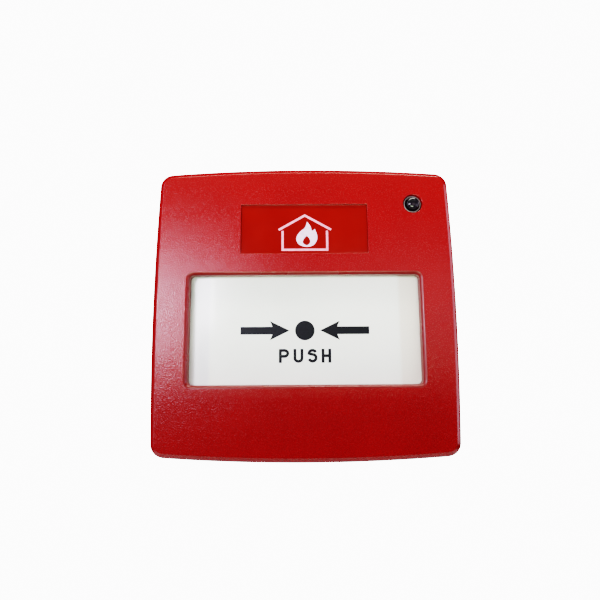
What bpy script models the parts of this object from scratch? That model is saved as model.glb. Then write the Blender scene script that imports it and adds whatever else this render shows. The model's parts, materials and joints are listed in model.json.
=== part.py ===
"""Manual call point: resettable push panel in a moulded cover, on a base that closes a wall box.

Axes: +X to the viewer's right, +Z up, -Y out of the wall towards the viewer. The origin is the
middle of the plane where the base meets the wall. All sizes below are in millimetres, and
every shape function turns them into metres.
"""

import math

import bmesh
import bpy
from mathutils import Matrix, Vector

MM = 0.001

# Driving sizes of the cover and its outline
WIDTH = 92.8
HEIGHT = 90.7
DEPTH = 27.5
SAG_TOP = 1.75
SAG_SIDE = 0.7
CORNER_R = 4.1
FACE_DOME = 1.1
EDGE_ROUND = 1.5
WALL = 2.2
RIM_DEPTH = 4.0
SEAM = 0.3
GAP = 0.3

# A cutter goes past the surface that it cuts by at least PAST, and a long one by FAR
PAST = 1.0
FAR = 5.0

# Window in the cover, and the press panel behind it
LIP_X = 36.4
LIP_TOP = 11.6
LIP_BOTTOM = -23.9
LIP_ROUND = 0.9
CLEAR_X = 35.3
CLEAR_TOP = 10.5
CLEAR_BOTTOM = -22.8
SKIRT_WALL = 1.5
SKIRT_DEPTH = 3.1
PANEL_DEPTH = 3.5
PANEL_X = 36.4
PANEL_BOTTOM = -24.4
PANEL_TOP = 12.1
PANEL_THICK = 1.6
BEND_X = 27.5
BEND_DROP = 0.6

# Label recess and indicator; the indicator's heights are measured forward from the wall
LABEL_X = 19.85
LABEL_BOTTOM = 17.1
LABEL_TOP = 33.2
LABEL_SINK = 0.55
LABEL_THICK = 0.4
LED_X = 34.2
LED_Z = 33.2
LED_HOLE_R = 3.0
LENS_R = 2.05
LENS_TIP = 27.95
LENS_DOME_BASE = 26.6
LENS_FLANGE_R = 3.4
LENS_FLANGE = (22.6, 24.3)
BEZEL_R = 2.7
BEZEL = (24.75, 26.35)
PIPE_R = 1.7
PIPE = (-21.9, -8.7)

# Joint axes
COVER_AXIS = (0.0, -RIM_DEPTH - SEAM, HEIGHT / 2)
PANEL_AXIS = (0.0, -18.8, -24.0)
LEVER_AXIS = (0.0, -16.3, -10.0)

# Layers between the wall and the cover, as their front faces
FLOOR_FRONT = -3.2
BOARD_REAR = -4.0
BOARD_FRONT = -5.6
CHIP_REAR = BOARD_FRONT - GAP
FRAME_REAR = -8.9
FRAME_FRONT = -10.4
FRAME_HALF = 38.0
JOINT_FRONT = FRAME_FRONT + 0.6
CAP_FRONT = -0.9
CAP_REAR = 9.0

# Posts and screws that hold the frame, the base and the rear cover
POSTS = ((-34.0, 34.0), (34.0, 22.0), (-34.0, -34.0), (34.0, -34.0))
POST_R = 3.0
POST_BORE_R = 1.5
SCREW_X = 30.15
CAP_SCREW_UP = 27.6
CAP_SCREW_DOWN = -25.6

# Cover hooks over the base, and the latch at its lower edge
HOOK_X = 22.0
HOOK_HALF = 2.5
HOOK_WEB = (41.4, 43.2)
HOOK_TIP = (40.8, 42.0)
LATCH_X = 14.0
TONGUE_HALF = 2.2
LATCH_FRONT = -8.6
LATCH_TOP = -39.5

# Key entry and the slide that the key lifts
KEY_HALF = 3.2
KEY_Y = (-18.2, -14.2)
SLIDE_HALF = 5.9
SLIDE_Y = (-18.8, -11.4)
SLIDE_Z = (-40.6, -28.5)
ARM_HALF = 1.5
ARM_THICK = 1.5

# Flag, its rails, and the trip lever beside the switch
FLAG_X = 28.0
FLAG_Y = (-24.1, -23.3)
FLAG_Z = (14.5, 25.5)
RAIL_X = 28.3
RAIL_WIDTH = 2.0
SWITCH_X = 10.0
SWITCH_Z = (-10.8, 1.6)
PLUNGER_Z = -1.0

# Address dials, and the terminal plug in its header
DIAL_X = 10.0
DIAL_Z = 12.0
DIAL_R = 3.2
DIAL_Y = (1.3, 8.4)
HOUSING_HALF = 4.8
POLE_COUNT = 6
POLE_PITCH = 5.0
POLES = [POLE_PITCH * (i - (POLE_COUNT - 1) / 2) for i in range(POLE_COUNT)]
PIN_Z = -9.75
PIN_HALF = 0.5
SCREW_Z = -12.0
PLUG_X = 15.9
PLUG_Y = (4.8, 13.2)
PLUG_Z = (-15.0, -5.0)

AXIS_TURN = {
    "x": Matrix(((0, 0, 1), (1, 0, 0), (0, 1, 0))).to_4x4(),
    "y": Matrix(((1, 0, 0), (0, 0, -1), (0, 1, 0))).to_4x4(),
    "z": Matrix.Identity(4),
}


# ---------------------------------------------------------------- scene and materials

def clear_scene():
    for old in list(bpy.data.objects):
        bpy.data.objects.remove(old)
    parts = bpy.data.collections.new("manual_call_point")
    cutters = bpy.data.collections.new("cutters")
    cutters.hide_render = True
    for group in (parts, cutters):
        bpy.context.scene.collection.children.link(group)
    return parts, cutters


PARTS, CUTTERS = clear_scene()


def material(name, colour, roughness, metallic=0.0):
    made = bpy.data.materials.new(name)
    made.use_nodes = True
    shader = made.node_tree.nodes["Principled BSDF"]
    shader.inputs["Base Color"].default_value = (*colour, 1.0)
    shader.inputs["Roughness"].default_value = roughness
    shader.inputs["Metallic"].default_value = metallic
    return made


RED = material("red_plastic", (0.50, 0.016, 0.012), 0.38)
LABEL_RED = material("label_red", (0.45, 0.008, 0.004), 0.12)
WHITE = material("white_plastic", (0.80, 0.81, 0.78), 0.15)
YELLOW = material("yellow_plastic", (0.85, 0.60, 0.03), 0.3)
BLACK = material("black_plastic", (0.02, 0.02, 0.022), 0.4)
GREY = material("grey_plastic", (0.22, 0.22, 0.23), 0.4)
LENS = material("lens_clear", (0.06, 0.04, 0.05), 0.05)
CLEAR = material("clear_plastic", (0.75, 0.78, 0.80), 0.08)
BOARD = material("board_green", (0.03, 0.16, 0.06), 0.45)
CHIP = material("chip_black", (0.03, 0.03, 0.03), 0.5)
STEEL = material("steel", (0.62, 0.62, 0.60), 0.3, 1.0)


# ---------------------------------------------------------------- shape tools

def put(obj, collection):
    """Links a new object, and gives it a cutter's looks when it is one."""
    collection.objects.link(obj)
    if collection == CUTTERS:
        obj.hide_render = True
        obj.display_type = "WIRE"
    return obj


def finish_mesh(name, mesh, paint, centre, collection, smooth=False):
    mesh.materials.append(paint)
    obj = put(bpy.data.objects.new(name, mesh), collection)
    obj.location = Vector(centre) * MM
    if smooth:
        mesh.shade_smooth()
        mesh.set_sharp_from_angle(angle=math.radians(35))
    return obj


def from_bmesh(name, bm, paint, centre, collection, smooth=False):
    mesh = bpy.data.meshes.new(name)
    bm.to_mesh(mesh)
    bm.free()
    return finish_mesh(name, mesh, paint, centre, collection, smooth)


def box(name, low, high, paint=RED, collection=PARTS, bevel=0.0):
    """A box between two corners, with its origin at its middle."""
    low = Vector(low)
    high = Vector(high)
    bm = bmesh.new()
    bmesh.ops.create_cube(bm, size=1.0)
    bmesh.ops.scale(bm, vec=(high - low) * MM, verts=bm.verts)
    obj = from_bmesh(name, bm, paint, (low + high) / 2, collection)
    if bevel:
        round_edges(obj, bevel)
    return obj


def rod(name, centre, radius, low, high, axis="y", paint=RED, collection=PARTS, sides=24):
    """A cylinder along a world axis, between low and high on it."""
    bm = bmesh.new()
    bmesh.ops.create_cone(
        bm,
        cap_ends=True,
        segments=sides,
        radius1=radius * MM,
        radius2=radius * MM,
        depth=(high - low) * MM,
    )
    bmesh.ops.transform(bm, matrix=AXIS_TURN[axis], verts=bm.verts)
    place = list(centre)
    place["xyz".index(axis)] = (low + high) / 2
    return from_bmesh(name, bm, paint, place, collection, smooth=True)


def flat_curve(name, outlines):
    """A filled flat curve from closed outlines, one inside another for a hole."""
    curve = bpy.data.curves.new(name, "CURVE")
    curve.dimensions = "2D"
    curve.fill_mode = "BOTH"
    for points in outlines:
        spline = curve.splines.new("POLY")
        spline.points.add(len(points) - 1)
        for point, (a, b) in zip(spline.points, points):
            point.co = (a * MM, b * MM, 0, 1)
        spline.use_cyclic_u = True
    return curve


def prism(name, outlines, low, high, axis="y", paint=RED, collection=PARTS, smooth=False):
    """A flat outline pushed along a world axis: (x, z) for y, (y, z) for x and (x, y) for z."""
    curve = flat_curve(name, outlines)
    curve.extrude = (high - low) / 2 * MM
    guide = bpy.data.objects.new(name + "_guide", curve)
    bpy.context.scene.collection.objects.link(guide)
    bpy.context.view_layer.update()
    evaluated = guide.evaluated_get(bpy.context.evaluated_depsgraph_get())
    mesh = bpy.data.meshes.new_from_object(evaluated)
    bpy.data.objects.remove(guide)
    bm = bmesh.new()
    bm.from_mesh(mesh)
    bmesh.ops.remove_doubles(bm, verts=bm.verts, dist=1e-6)
    bmesh.ops.transform(bm, matrix=AXIS_TURN[axis], verts=bm.verts)
    bmesh.ops.recalc_face_normals(bm, faces=bm.faces)
    place = [0.0, 0.0, 0.0]
    place["xyz".index(axis)] = (low + high) / 2
    return from_bmesh(name, bm, paint, place, collection, smooth)


def turned(name, centre, profile, paint, collection=PARTS, steps=24):
    """A turned shape facing the viewer: profile gives radius and height along -Y, from the tip down."""
    bm = bmesh.new()
    ring = [bm.verts.new((r * MM, 0, h * MM)) for r, h in profile]
    for a, b in zip(ring, ring[1:]):
        bm.edges.new((a, b))
    obj = from_bmesh(name, bm, paint, centre, collection)
    obj.rotation_euler = (math.pi / 2, 0, 0)
    screw = obj.modifiers.new("turn", "SCREW")
    screw.steps = steps
    screw.render_steps = steps
    screw.use_merge_vertices = True
    screw.merge_threshold = 0.00001
    return obj


def coil(name, centre, radius, wire, low, high, turns, axis, paint=STEEL):
    """A compression spring along a world axis, its last turn at each end lying nearly flat."""
    per_turn = 12
    end_turns = 0.8
    end_rise = 2.2 * wire
    count = int(turns * per_turn)
    curve = bpy.data.curves.new(name, "CURVE")
    curve.dimensions = "3D"
    curve.bevel_depth = wire * MM
    curve.bevel_resolution = 1
    curve.use_fill_caps = True
    spline = curve.splines.new("POLY")
    spline.points.add(count)
    length = high - low - 2 * wire
    for i, point in enumerate(spline.points):
        turn = i / per_turn
        share = min(max((turn - end_turns) / (turns - 2 * end_turns), 0.0), 1.0)
        rise = end_rise * min(turn, end_turns) / end_turns
        rise += share * (length - 2 * end_rise)
        rise += end_rise * max(turn - (turns - end_turns), 0.0) / end_turns
        angle = math.tau * turn
        around = Vector((radius * math.cos(angle), radius * math.sin(angle), rise - length / 2))
        point.co = (*(AXIS_TURN[axis] @ around * MM), 1)
    obj = put(bpy.data.objects.new(name, curve), PARTS)
    curve.materials.append(paint)
    obj.location = Vector(centre) * MM
    return obj


def round_edges(obj, width, segments=2, angle=40):
    bevel = obj.modifiers.new("rounded_edges", "BEVEL")
    bevel.width = width * MM
    bevel.segments = segments
    bevel.limit_method = "ANGLE"
    bevel.angle_limit = math.radians(angle)


def boolean(obj, other, operation):
    step = obj.modifiers.new(operation.lower(), "BOOLEAN")
    step.operation = operation
    step.object = other
    step.solver = "EXACT"


def cut(obj, *tools):
    for tool in tools:
        boolean(obj, tool, "DIFFERENCE")


def join(obj, *others):
    for other in others:
        boolean(obj, other, "UNION")


def cut_box(name, low, high):
    return box(name, low, high, collection=CUTTERS)


def cut_rod(name, centre, radius, low, high, axis="y", sides=24):
    return rod(name, centre, radius, low, high, axis, collection=CUTTERS, sides=sides)


def body_origin(name, place):
    """An empty on a joint's axis, for the pieces that move with it."""
    empty = put(bpy.data.objects.new(name, None), PARTS)
    empty.location = Vector(place) * MM
    return empty


def hang_on(empty, *pieces):
    for piece in pieces:
        piece.parent = empty
        piece.location = piece.location - empty.location


# ---------------------------------------------------------------- outlines

def dome(z):
    """How far the face lies behind its front plane at a height."""
    return FACE_DOME * (z / (HEIGHT / 2)) ** 2


def barrel(inset):
    """The call point's outline: four shallow arcs and four round corners, as (x, z)."""
    arc_steps = 5
    side_steps = 5
    least_radius = 0.6
    half_x = WIDTH / 2 - inset
    half_z = HEIGHT / 2 - inset
    radius = max(CORNER_R - inset, least_radius)
    lean_top = 2 * SAG_TOP / half_x
    lean_side = 2 * SAG_SIDE / half_z
    centre_x = half_x - SAG_SIDE - radius * (1 - lean_side)
    centre_z = half_z - SAG_TOP - radius * (1 - lean_top)
    first = math.atan(lean_side)
    last = math.pi / 2 - math.atan(lean_top)
    side_end = centre_z + radius * math.sin(first)
    quarter = []
    for i in range(side_steps + 1):
        z = side_end * i / side_steps
        quarter.append((half_x - SAG_SIDE * (z / half_z) ** 2, z))
    shift = quarter[-1][0] - (centre_x + radius * math.cos(first))
    for i in range(1, arc_steps):
        angle = first + (last - first) * i / arc_steps
        x = centre_x + shift * (1 - i / arc_steps) + radius * math.cos(angle)
        quarter.append((x, centre_z + radius * math.sin(angle)))
    top_end = centre_x + radius * math.cos(last)
    for i in range(side_steps + 1):
        x = top_end * (1 - i / side_steps)
        quarter.append((x, half_z - SAG_TOP * (x / half_x) ** 2))
    left = [(-x, z) for x, z in reversed(quarter[:-1])]
    top = quarter + left
    bottom = [(x, -z) for x, z in reversed(top[1:-1])]
    return top + bottom


def domed_block(name, offset):
    """A cutter as wide as the cover whose front follows the face's dome, offset behind it."""
    steps = 16
    reach = WIDTH
    heights = [reach * (2 * i / steps - 1) for i in range(steps + 1)]
    front = [(-DEPTH + dome(z) + offset, z) for z in heights]
    outline = front + [(FAR, reach), (FAR, -reach)]
    return prism(name, [outline], -reach, reach, "x", collection=CUTTERS)


def rectangle(x_low, x_high, z_low, z_high):
    return [(x_low, z_low), (x_high, z_low), (x_high, z_high), (x_low, z_high)]


def spread(low, high, margin):
    return low - margin, high + margin


def taper(name, front, rear):
    """A four-sided funnel cutter between two rectangles (half width, low z, high z, y)."""
    bm = bmesh.new()
    bmesh.ops.create_cube(bm, size=1.0)
    for vert in bm.verts:
        half, low, high, y = front if vert.co.y < 0 else rear
        x = half if vert.co.x > 0 else -half
        z = high if vert.co.z > 0 else low
        vert.co = Vector((x, y, z)) * MM
    return from_bmesh(name, bm, RED, (0, 0, 0), CUTTERS)


# ---------------------------------------------------------------- cover and what rides on it

def window_skirt():
    outer = rectangle(
        -CLEAR_X - SKIRT_WALL,
        CLEAR_X + SKIRT_WALL,
        CLEAR_BOTTOM - SKIRT_WALL,
        CLEAR_TOP + SKIRT_WALL,
    )
    into_wall = 0.5
    front = -DEPTH + WALL - into_wall
    return prism("window_skirt", [outer], front, -DEPTH + SKIRT_DEPTH, collection=CUTTERS)


def window_cutters():
    """The straight opening, and the wider funnel that makes its rounded lip."""
    draft = 0.4
    flare = 1.3
    front = -DEPTH - PAST
    inner = (CLEAR_X, CLEAR_BOTTOM, CLEAR_TOP)
    drafted = (CLEAR_X + draft, *spread(CLEAR_BOTTOM, CLEAR_TOP, draft))
    flared = (LIP_X + flare, *spread(LIP_BOTTOM, LIP_TOP, flare))
    lip_rear = -DEPTH + LIP_ROUND + 0.3
    opening = taper("window", (*drafted, front), (*inner, -DEPTH + SKIRT_DEPTH + FAR))
    lip = taper("window_lip", (*flared, front), (*inner, lip_rear))
    return opening, lip


def cover_hook(side, rear):
    """A web down the cover's inside, with a tip that reaches into the base."""
    x_low, x_high = spread(side * HOOK_X, side * HOOK_X, HOOK_HALF)
    web = box(
        f"hook_web_{side}",
        (x_low, -7.0, HOOK_WEB[0]),
        (x_high, rear - 0.2, HOOK_WEB[1]),
        collection=CUTTERS,
    )
    tip = box(
        f"hook_tip_{side}",
        (x_low, -6.6, HOOK_TIP[0]),
        (x_high, rear + 1.6, HOOK_TIP[1]),
        collection=CUTTERS,
    )
    return web, tip


def front_cover():
    rear = -RIM_DEPTH - SEAM
    wall_inside = -41.5
    below = -HEIGHT / 2 - PAST
    cover = prism("front_cover", [barrel(0)], -DEPTH - PAST, rear)
    boolean(cover, domed_block("cover_front", 0), "INTERSECT")
    round_edges(cover, EDGE_ROUND, 3, 50)
    hollow = prism("cover_hollow", [barrel(WALL)], -DEPTH, rear + PAST, collection=CUTTERS)
    boolean(hollow, domed_block("cover_inside", WALL), "INTERSECT")
    cut(cover, hollow)
    join(cover, window_skirt())
    for side in (-1, 1):
        join(cover, *cover_hook(side, rear))
    cut(cover, *window_cutters())
    recess_profile = label_profile(-FAR, LABEL_SINK + LABEL_THICK + GAP, 0)
    recess = prism("label_recess", [recess_profile], -LABEL_X, LABEL_X, "x", collection=CUTTERS)
    led_hole = cut_rod("led_hole", (LED_X, 0, LED_Z), LED_HOLE_R, -DEPTH - PAST, -DEPTH + FAR)
    key_slot = cut_box("key_slot", (-KEY_HALF, KEY_Y[0], below), (KEY_HALF, KEY_Y[1], -40))
    cut(cover, recess, led_hole, key_slot)
    for side in (-1, 1):
        x_low, x_high = spread(side * LATCH_X, side * LATCH_X, TONGUE_HALF + 0.8)
        notch_front = LATCH_FRONT - 0.4
        notch = cut_box(f"latch_notch_{side}", (x_low, notch_front, below), (x_high, -2, wall_inside))
        cut(cover, notch)
    return cover


def label_profile(front, rear, inset):
    """Side view of a plate that follows the dome between two depths, as (y, z)."""
    steps = 6
    low = LABEL_BOTTOM + inset
    high = LABEL_TOP - inset
    heights = [low + (high - low) * i / steps for i in range(steps + 1)]
    near = [(-DEPTH + dome(z) + front, z) for z in heights]
    far = [(-DEPTH + dome(z) + rear, z) for z in reversed(heights)]
    return near + far


def label_panel():
    fit = 0.25
    profile = label_profile(LABEL_SINK, LABEL_SINK + LABEL_THICK, fit)
    return prism("label_panel", [profile], -LABEL_X + fit, LABEL_X - fit, "x", LABEL_RED)


def led_lens():
    """Domed lens with a flange that sits behind the cover's wall."""
    steps = 5
    rise = LENS_TIP - LENS_DOME_BASE
    profile = [(0.0, LENS_TIP)]
    for i in range(1, steps + 1):
        angle = math.pi / 2 * i / steps
        profile.append((LENS_R * math.sin(angle), LENS_DOME_BASE + rise * math.cos(angle)))
    low, high = LENS_FLANGE
    profile += [(LENS_R, high), (LENS_FLANGE_R, high), (LENS_FLANGE_R, low), (0.0, low)]
    return turned("led_lens", (LED_X, 0, LED_Z), profile, LENS)


def led_bezel():
    inner = LENS_R + GAP
    low, high = BEZEL
    profile = [(inner, high), (BEZEL_R, high), (BEZEL_R, low), (inner, low), (inner, high)]
    return turned("led_bezel", (LED_X, 0, LED_Z), profile, GREY)


# ---------------------------------------------------------------- moving pieces

def press_panel():
    """Window panel, its two ends bent back a little, as a (x, y) section pushed up."""
    front = -DEPTH + PANEL_DEPTH
    rear = front + PANEL_THICK
    near = [
        (-PANEL_X, front + BEND_DROP),
        (-BEND_X, front),
        (BEND_X, front),
        (PANEL_X, front + BEND_DROP),
    ]
    far = [
        (PANEL_X, rear + BEND_DROP),
        (BEND_X, rear),
        (-BEND_X, rear),
        (-PANEL_X, rear + BEND_DROP),
    ]
    panel = prism("press_panel", [near + far], PANEL_BOTTOM, PANEL_TOP, "z", WHITE)
    round_edges(panel, 0.3)
    return panel


def panel_carrier():
    """Plate behind the window panel, with trunnions to tilt on and a finger over the lever."""
    half = 30.0
    front = -21.9
    rear = -20.5
    low = -25.5
    high = 8.0
    axis_y, axis_z = PANEL_AXIS[1:]
    carrier = box("panel_carrier", (-half, front, low), (half, rear, high), BLACK)
    for side in (-1, 1):
        x_in, x_out = sorted((side * (half - 3.0), side * half))
        ear_low, ear_high = spread(axis_z, axis_z, 2.2)
        ear = box(
            f"carrier_ear_{side}",
            (x_in, rear - 0.8, ear_low),
            (x_out, axis_y + 1.8, ear_high),
            collection=CUTTERS,
        )
        pin_in, pin_out = sorted((side * (half - 2.0), side * 37.6))
        trunnion = rod(
            f"trunnion_{side}",
            (0, axis_y, axis_z),
            1.4,
            pin_in,
            pin_out,
            "x",
            collection=CUTTERS,
            sides=20,
        )
        x_low, x_high = spread(side * 22.0, side * 22.0, 0.8)
        rib = box(
            f"carrier_rib_{side}",
            (x_low, rear - 0.5, low + 1.5),
            (x_high, rear + 1.2, high - 1.0),
            collection=CUTTERS,
        )
        join(carrier, ear, trunnion, rib)
    x_low, x_high = spread(SWITCH_X, SWITCH_X, 2.0)
    join(carrier, box("carrier_pusher", (x_low, rear - 0.6, 3), (x_high, -17.6, 7), collection=CUTTERS))
    cut(carrier, cut_box("carrier_window", (-18, front - PAST, -18), (4, rear + FAR, -4)))
    return carrier


def warning_flag():
    flag = box("warning_flag", (-FLAG_X, FLAG_Y[0], FLAG_Z[0]), (FLAG_X, FLAG_Y[1], FLAG_Z[1]), YELLOW)
    tab_half = 2.4
    tab_low = (-tab_half, FLAG_Y[1] - 0.3, FLAG_Z[1] - 2.0)
    tab_high = (tab_half, -12.6, FLAG_Z[1] - 0.2)
    join(flag, box("flag_tab", tab_low, tab_high, collection=CUTTERS))
    return flag


def trip_lever():
    """Lever between the carrier's finger, the flag and the switch, turning on its pin."""
    y, z = LEVER_AXIS[1:]
    low, high = spread(SWITCH_X, SWITCH_X, 3.0)
    half_thick = 0.9
    lever = box("trip_lever", (low, y - half_thick, z), (high, y + half_thick, 8.0), BLACK)
    join(lever, rod("lever_hub", (0, y, z), 2.2, low, high, "x", collection=CUTTERS))
    cut(lever, cut_rod("lever_bore", (0, y, z), 1.15, low - PAST, high + PAST, "x"))
    return lever


def switch_plunger():
    return rod("switch_plunger", (SWITCH_X, 0, PLUNGER_Z), 0.9, -15.1, -12.0, "y", WHITE, sides=16)


def reset_slide():
    """Slide that the key pushes up, with a socket for the key and an arm towards the flag."""
    front, rear = SLIDE_Y
    low, high = SLIDE_Z
    slide = box("reset_slide", (-SLIDE_HALF, front, low), (SLIDE_HALF, rear, high), BLACK)
    arm = box(
        "reset_arm",
        (-ARM_HALF, rear - ARM_THICK, high - 1.5),
        (ARM_HALF, rear, 11.2),
        collection=CUTTERS,
    )
    join(slide, arm)
    socket_half = 2.7
    cut(slide, cut_box("key_socket", (-socket_half, -17.8, low - FAR), (socket_half, -14.6, low + 6.6)))
    return slide


def cover_latch():
    """Spring bar with two tongues that stand in the notches of the cover's lower wall."""
    half = 17.0
    latch = box("cover_latch", (-half, LATCH_FRONT, LATCH_TOP - 1.5), (half, -6.0, LATCH_TOP), BLACK)
    for side in (-1, 1):
        x_low, x_high = spread(side * LATCH_X, side * LATCH_X, TONGUE_HALF)
        low = (x_low, LATCH_FRONT, -44.4)
        high = (x_high, -4.8, LATCH_TOP - 0.3)
        join(latch, box(f"latch_tongue_{side}", low, high, collection=CUTTERS))
    return latch


def address_dial(name, side):
    """Turned knob with a driver slot and a short mark beside the slot's end."""
    x = side * DIAL_X
    top = DIAL_Y[1]
    dial = rod(name, (x, 0, DIAL_Z), DIAL_R, DIAL_Y[0], top, "y", WHITE)
    slot_low = (x - 2.6, top - 0.9, DIAL_Z - 0.5)
    slot_high = (x + 2.6, top + PAST, DIAL_Z + 0.5)
    mark_low = (x + 1.5, top - 0.5, DIAL_Z - 0.9)
    mark_high = (x + 2.3, top + PAST, DIAL_Z + 0.9)
    cut(dial, cut_box(name + "_slot", slot_low, slot_high), cut_box(name + "_mark", mark_low, mark_high))
    return dial


def terminal_plug():
    """Plug-in block: sockets for the pins in front, wire entries below, screw wells behind."""
    front, rear = PLUG_Y
    low, high = PLUG_Z
    plug = box("terminal_plug", (-PLUG_X, front, low), (PLUG_X, rear, high), GREY)
    nose_half = PLUG_X - 1.0
    nose = box("plug_nose", (-nose_half, -1.3, -13.1), (nose_half, front + 1.2, -6.4), collection=CUTTERS)
    join(plug, nose)
    for i, x in enumerate(POLES):
        socket_half = PIN_HALF + 0.4
        entry_half = 1.8
        cut(
            plug,
            cut_box(
                f"pin_socket_{i}",
                (x - socket_half, -1.3 - PAST, PIN_Z - socket_half),
                (x + socket_half, 4.2, PIN_Z + socket_half),
            ),
            cut_box(
                f"wire_entry_{i}",
                (x - entry_half, 6.0, low - PAST),
                (x + entry_half, 9.8, -8.2),
            ),
            cut_rod(f"screw_well_{i}", (x, 0, SCREW_Z), 1.75, 9.0, rear + PAST, sides=16),
        )
    return plug


def terminal_screws():
    made = []
    head = 12.4
    for i, x in enumerate(POLES, 1):
        screw = rod(f"terminal_screw_{i}", (x, 0, SCREW_Z), 1.4, 9.4, head, paint=STEEL, sides=16)
        slot_low = (x - 2, head - 0.6, SCREW_Z - 0.25)
        slot_high = (x + 2, head + PAST, SCREW_Z + 0.25)
        cut(screw, cut_box(f"terminal_slot_{i}", slot_low, slot_high))
        made.append(screw)
    return made


def terminal_clamps():
    """Steel cages that close on the wires, open below."""
    made = []
    half = 1.5
    wall = 0.5
    front, rear = 6.3, 9.1
    low, high = -14.4, -8.6
    for i, x in enumerate(POLES, 1):
        clamp = box(f"terminal_clamp_{i}", (x - half, front, low), (x + half, rear, high), STEEL)
        throat_low = (x - half + wall, front + wall, low - PAST)
        throat_high = (x + half - wall, rear - wall, high - wall)
        cut(clamp, cut_box(f"clamp_throat_{i}", throat_low, throat_high))
        made.append(clamp)
    return made


# ---------------------------------------------------------------- fixed pieces

def base_bodies():
    """What stands on the base's floor: frame posts and the bosses of the fixing screws."""
    into_floor = FLOOR_FRONT + PAST
    for i, (x, z) in enumerate(POSTS):
        yield rod(f"base_post_{i}", (x, 0, z), POST_R, FRAME_REAR + GAP, into_floor, collection=CUTTERS)
    for side in (-1, 1):
        yield rod(f"screw_boss_{side}", (side * SCREW_X, 0, 0), 4.5, -6.5, into_floor, collection=CUTTERS)


def base_spigot():
    """The wall inside the cover, with gaps for the cover's hooks and the latch."""
    front = -9.0
    far_edge = HEIGHT / 2
    spigot = prism(
        "base_spigot",
        [barrel(WALL + 0.4), barrel(WALL + 2.0)],
        front,
        FLOOR_FRONT + 0.8,
        collection=CUTTERS,
    )
    for side in (-1, 1):
        x_low, x_high = spread(side * HOOK_X, side * HOOK_X, HOOK_HALF + 0.9)
        cut(spigot, cut_box(f"hook_gap_{side}", (x_low, front - PAST, 38), (x_high, 0, far_edge)))
    cut(spigot, cut_box("latch_gap", (-18.5, front - PAST, -far_edge), (18.5, 0, -38)))
    return spigot


def base_plate():
    base = prism("base_plate", [barrel(0)], -RIM_DEPTH, 0)
    rim = prism("rim_inside", [barrel(WALL - 0.2)], -RIM_DEPTH - FAR, FLOOR_FRONT, collection=CUTTERS)
    cut(base, rim)
    join(base, base_spigot())
    join(base, *base_bodies())
    recess = rectangle(-40, 40, -38.5, 38.5)
    opening = rectangle(-24, 24, -19, 21)
    cut(
        base,
        prism("rear_recess", [recess], -1.2, PAST, collection=CUTTERS),
        prism("rear_opening", [opening], -6, PAST, collection=CUTTERS),
    )
    for side in (-1, 1):
        cap_screw = (0, 0, cap_screw_z(side))
        x_low, x_high = spread(side * HOOK_X, side * HOOK_X, HOOK_HALF + 0.7)
        cut(
            base,
            cut_rod(f"fixing_hole_{side}", (side * SCREW_X, 0, 0), 2.2, -12, PAST),
            cut_rod(f"cap_screw_hole_{side}", cap_screw, POST_BORE_R, -8, PAST, sides=16),
            cut_box(f"hook_slot_{side}", (x_low, -5, HOOK_TIP[0] - 1.3), (x_high, -2, HOOK_TIP[1] + 0.4)),
        )
    for i, (x, z) in enumerate(POSTS):
        cut(base, cut_rod(f"post_bore_{i}", (x, 0, z), POST_BORE_R, -12, -4.2, sides=16))
    return base


def cap_screw_z(side):
    """Height of the rear cover's upper (1) and lower (-1) screw."""
    return CAP_SCREW_UP if side > 0 else CAP_SCREW_DOWN


def rear_cover():
    """Tray over the wiring side, with a window for the plug and one for each dial."""
    half_x = 27.0
    low, high = -22.0, 24.0
    wall = 1.6
    cap = box("rear_cover", (-half_x, CAP_FRONT, low), (half_x, CAP_REAR, high), BLACK)
    for side in (-1, 1):
        z = cap_screw_z(side)
        ear_low, ear_high = sorted((z + side * 3.6, z - side * 4.4))
        ear = box(f"cap_ear_{side}", (-5, CAP_FRONT, ear_low), (5, -CAP_FRONT, ear_high), collection=CUTTERS)
        join(cap, ear)
    cut(
        cap,
        cut_box(
            "cap_hollow",
            (-half_x + wall, CAP_FRONT - PAST, low + wall),
            (half_x - wall, CAP_REAR - wall, high - wall),
        ),
        cut_box("plug_window", (-PLUG_X - 0.8, 0, PLUG_Z[0] - 0.9), (PLUG_X + 0.8, 12, PLUG_Z[1] + 0.8)),
    )
    for side in (-1, 1):
        cap_screw = (0, 0, cap_screw_z(side))
        cut(
            cap,
            cut_rod(f"dial_window_{side}", (side * DIAL_X, 0, DIAL_Z), DIAL_R + 0.5, 0, 12),
            cut_rod(f"cap_ear_hole_{side}", cap_screw, 1.6, CAP_FRONT - PAST, PAST * 2, sides=16),
        )
    return cap


def cross_screw(name, place, head_r, shank_r, head, tip, recess, facing=-1):
    """A pan-head screw with a cross recess: head is its seat and top, tip its far end, along y."""
    x, z = place
    seat, top = head
    screw = rod(name, (x, 0, z), head_r, *sorted(head), paint=STEEL, sides=20)
    shank_low, shank_high = sorted((tip, seat + facing * 0.5))
    shank = rod(name + "_shank", (x, 0, z), shank_r, shank_low, shank_high, collection=CUTTERS, sides=16)
    join(screw, shank)
    wing = head_r / 8
    reach = head_r * 0.62
    cut_low, cut_high = sorted((top + facing * PAST, top - facing * recess))
    cut(
        screw,
        cut_box(name + "_cross_a", (x - reach, cut_low, z - wing), (x + reach, cut_high, z + wing)),
        cut_box(name + "_cross_b", (x - wing, cut_low, z - reach), (x + wing, cut_high, z + reach)),
    )
    return screw


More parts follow.
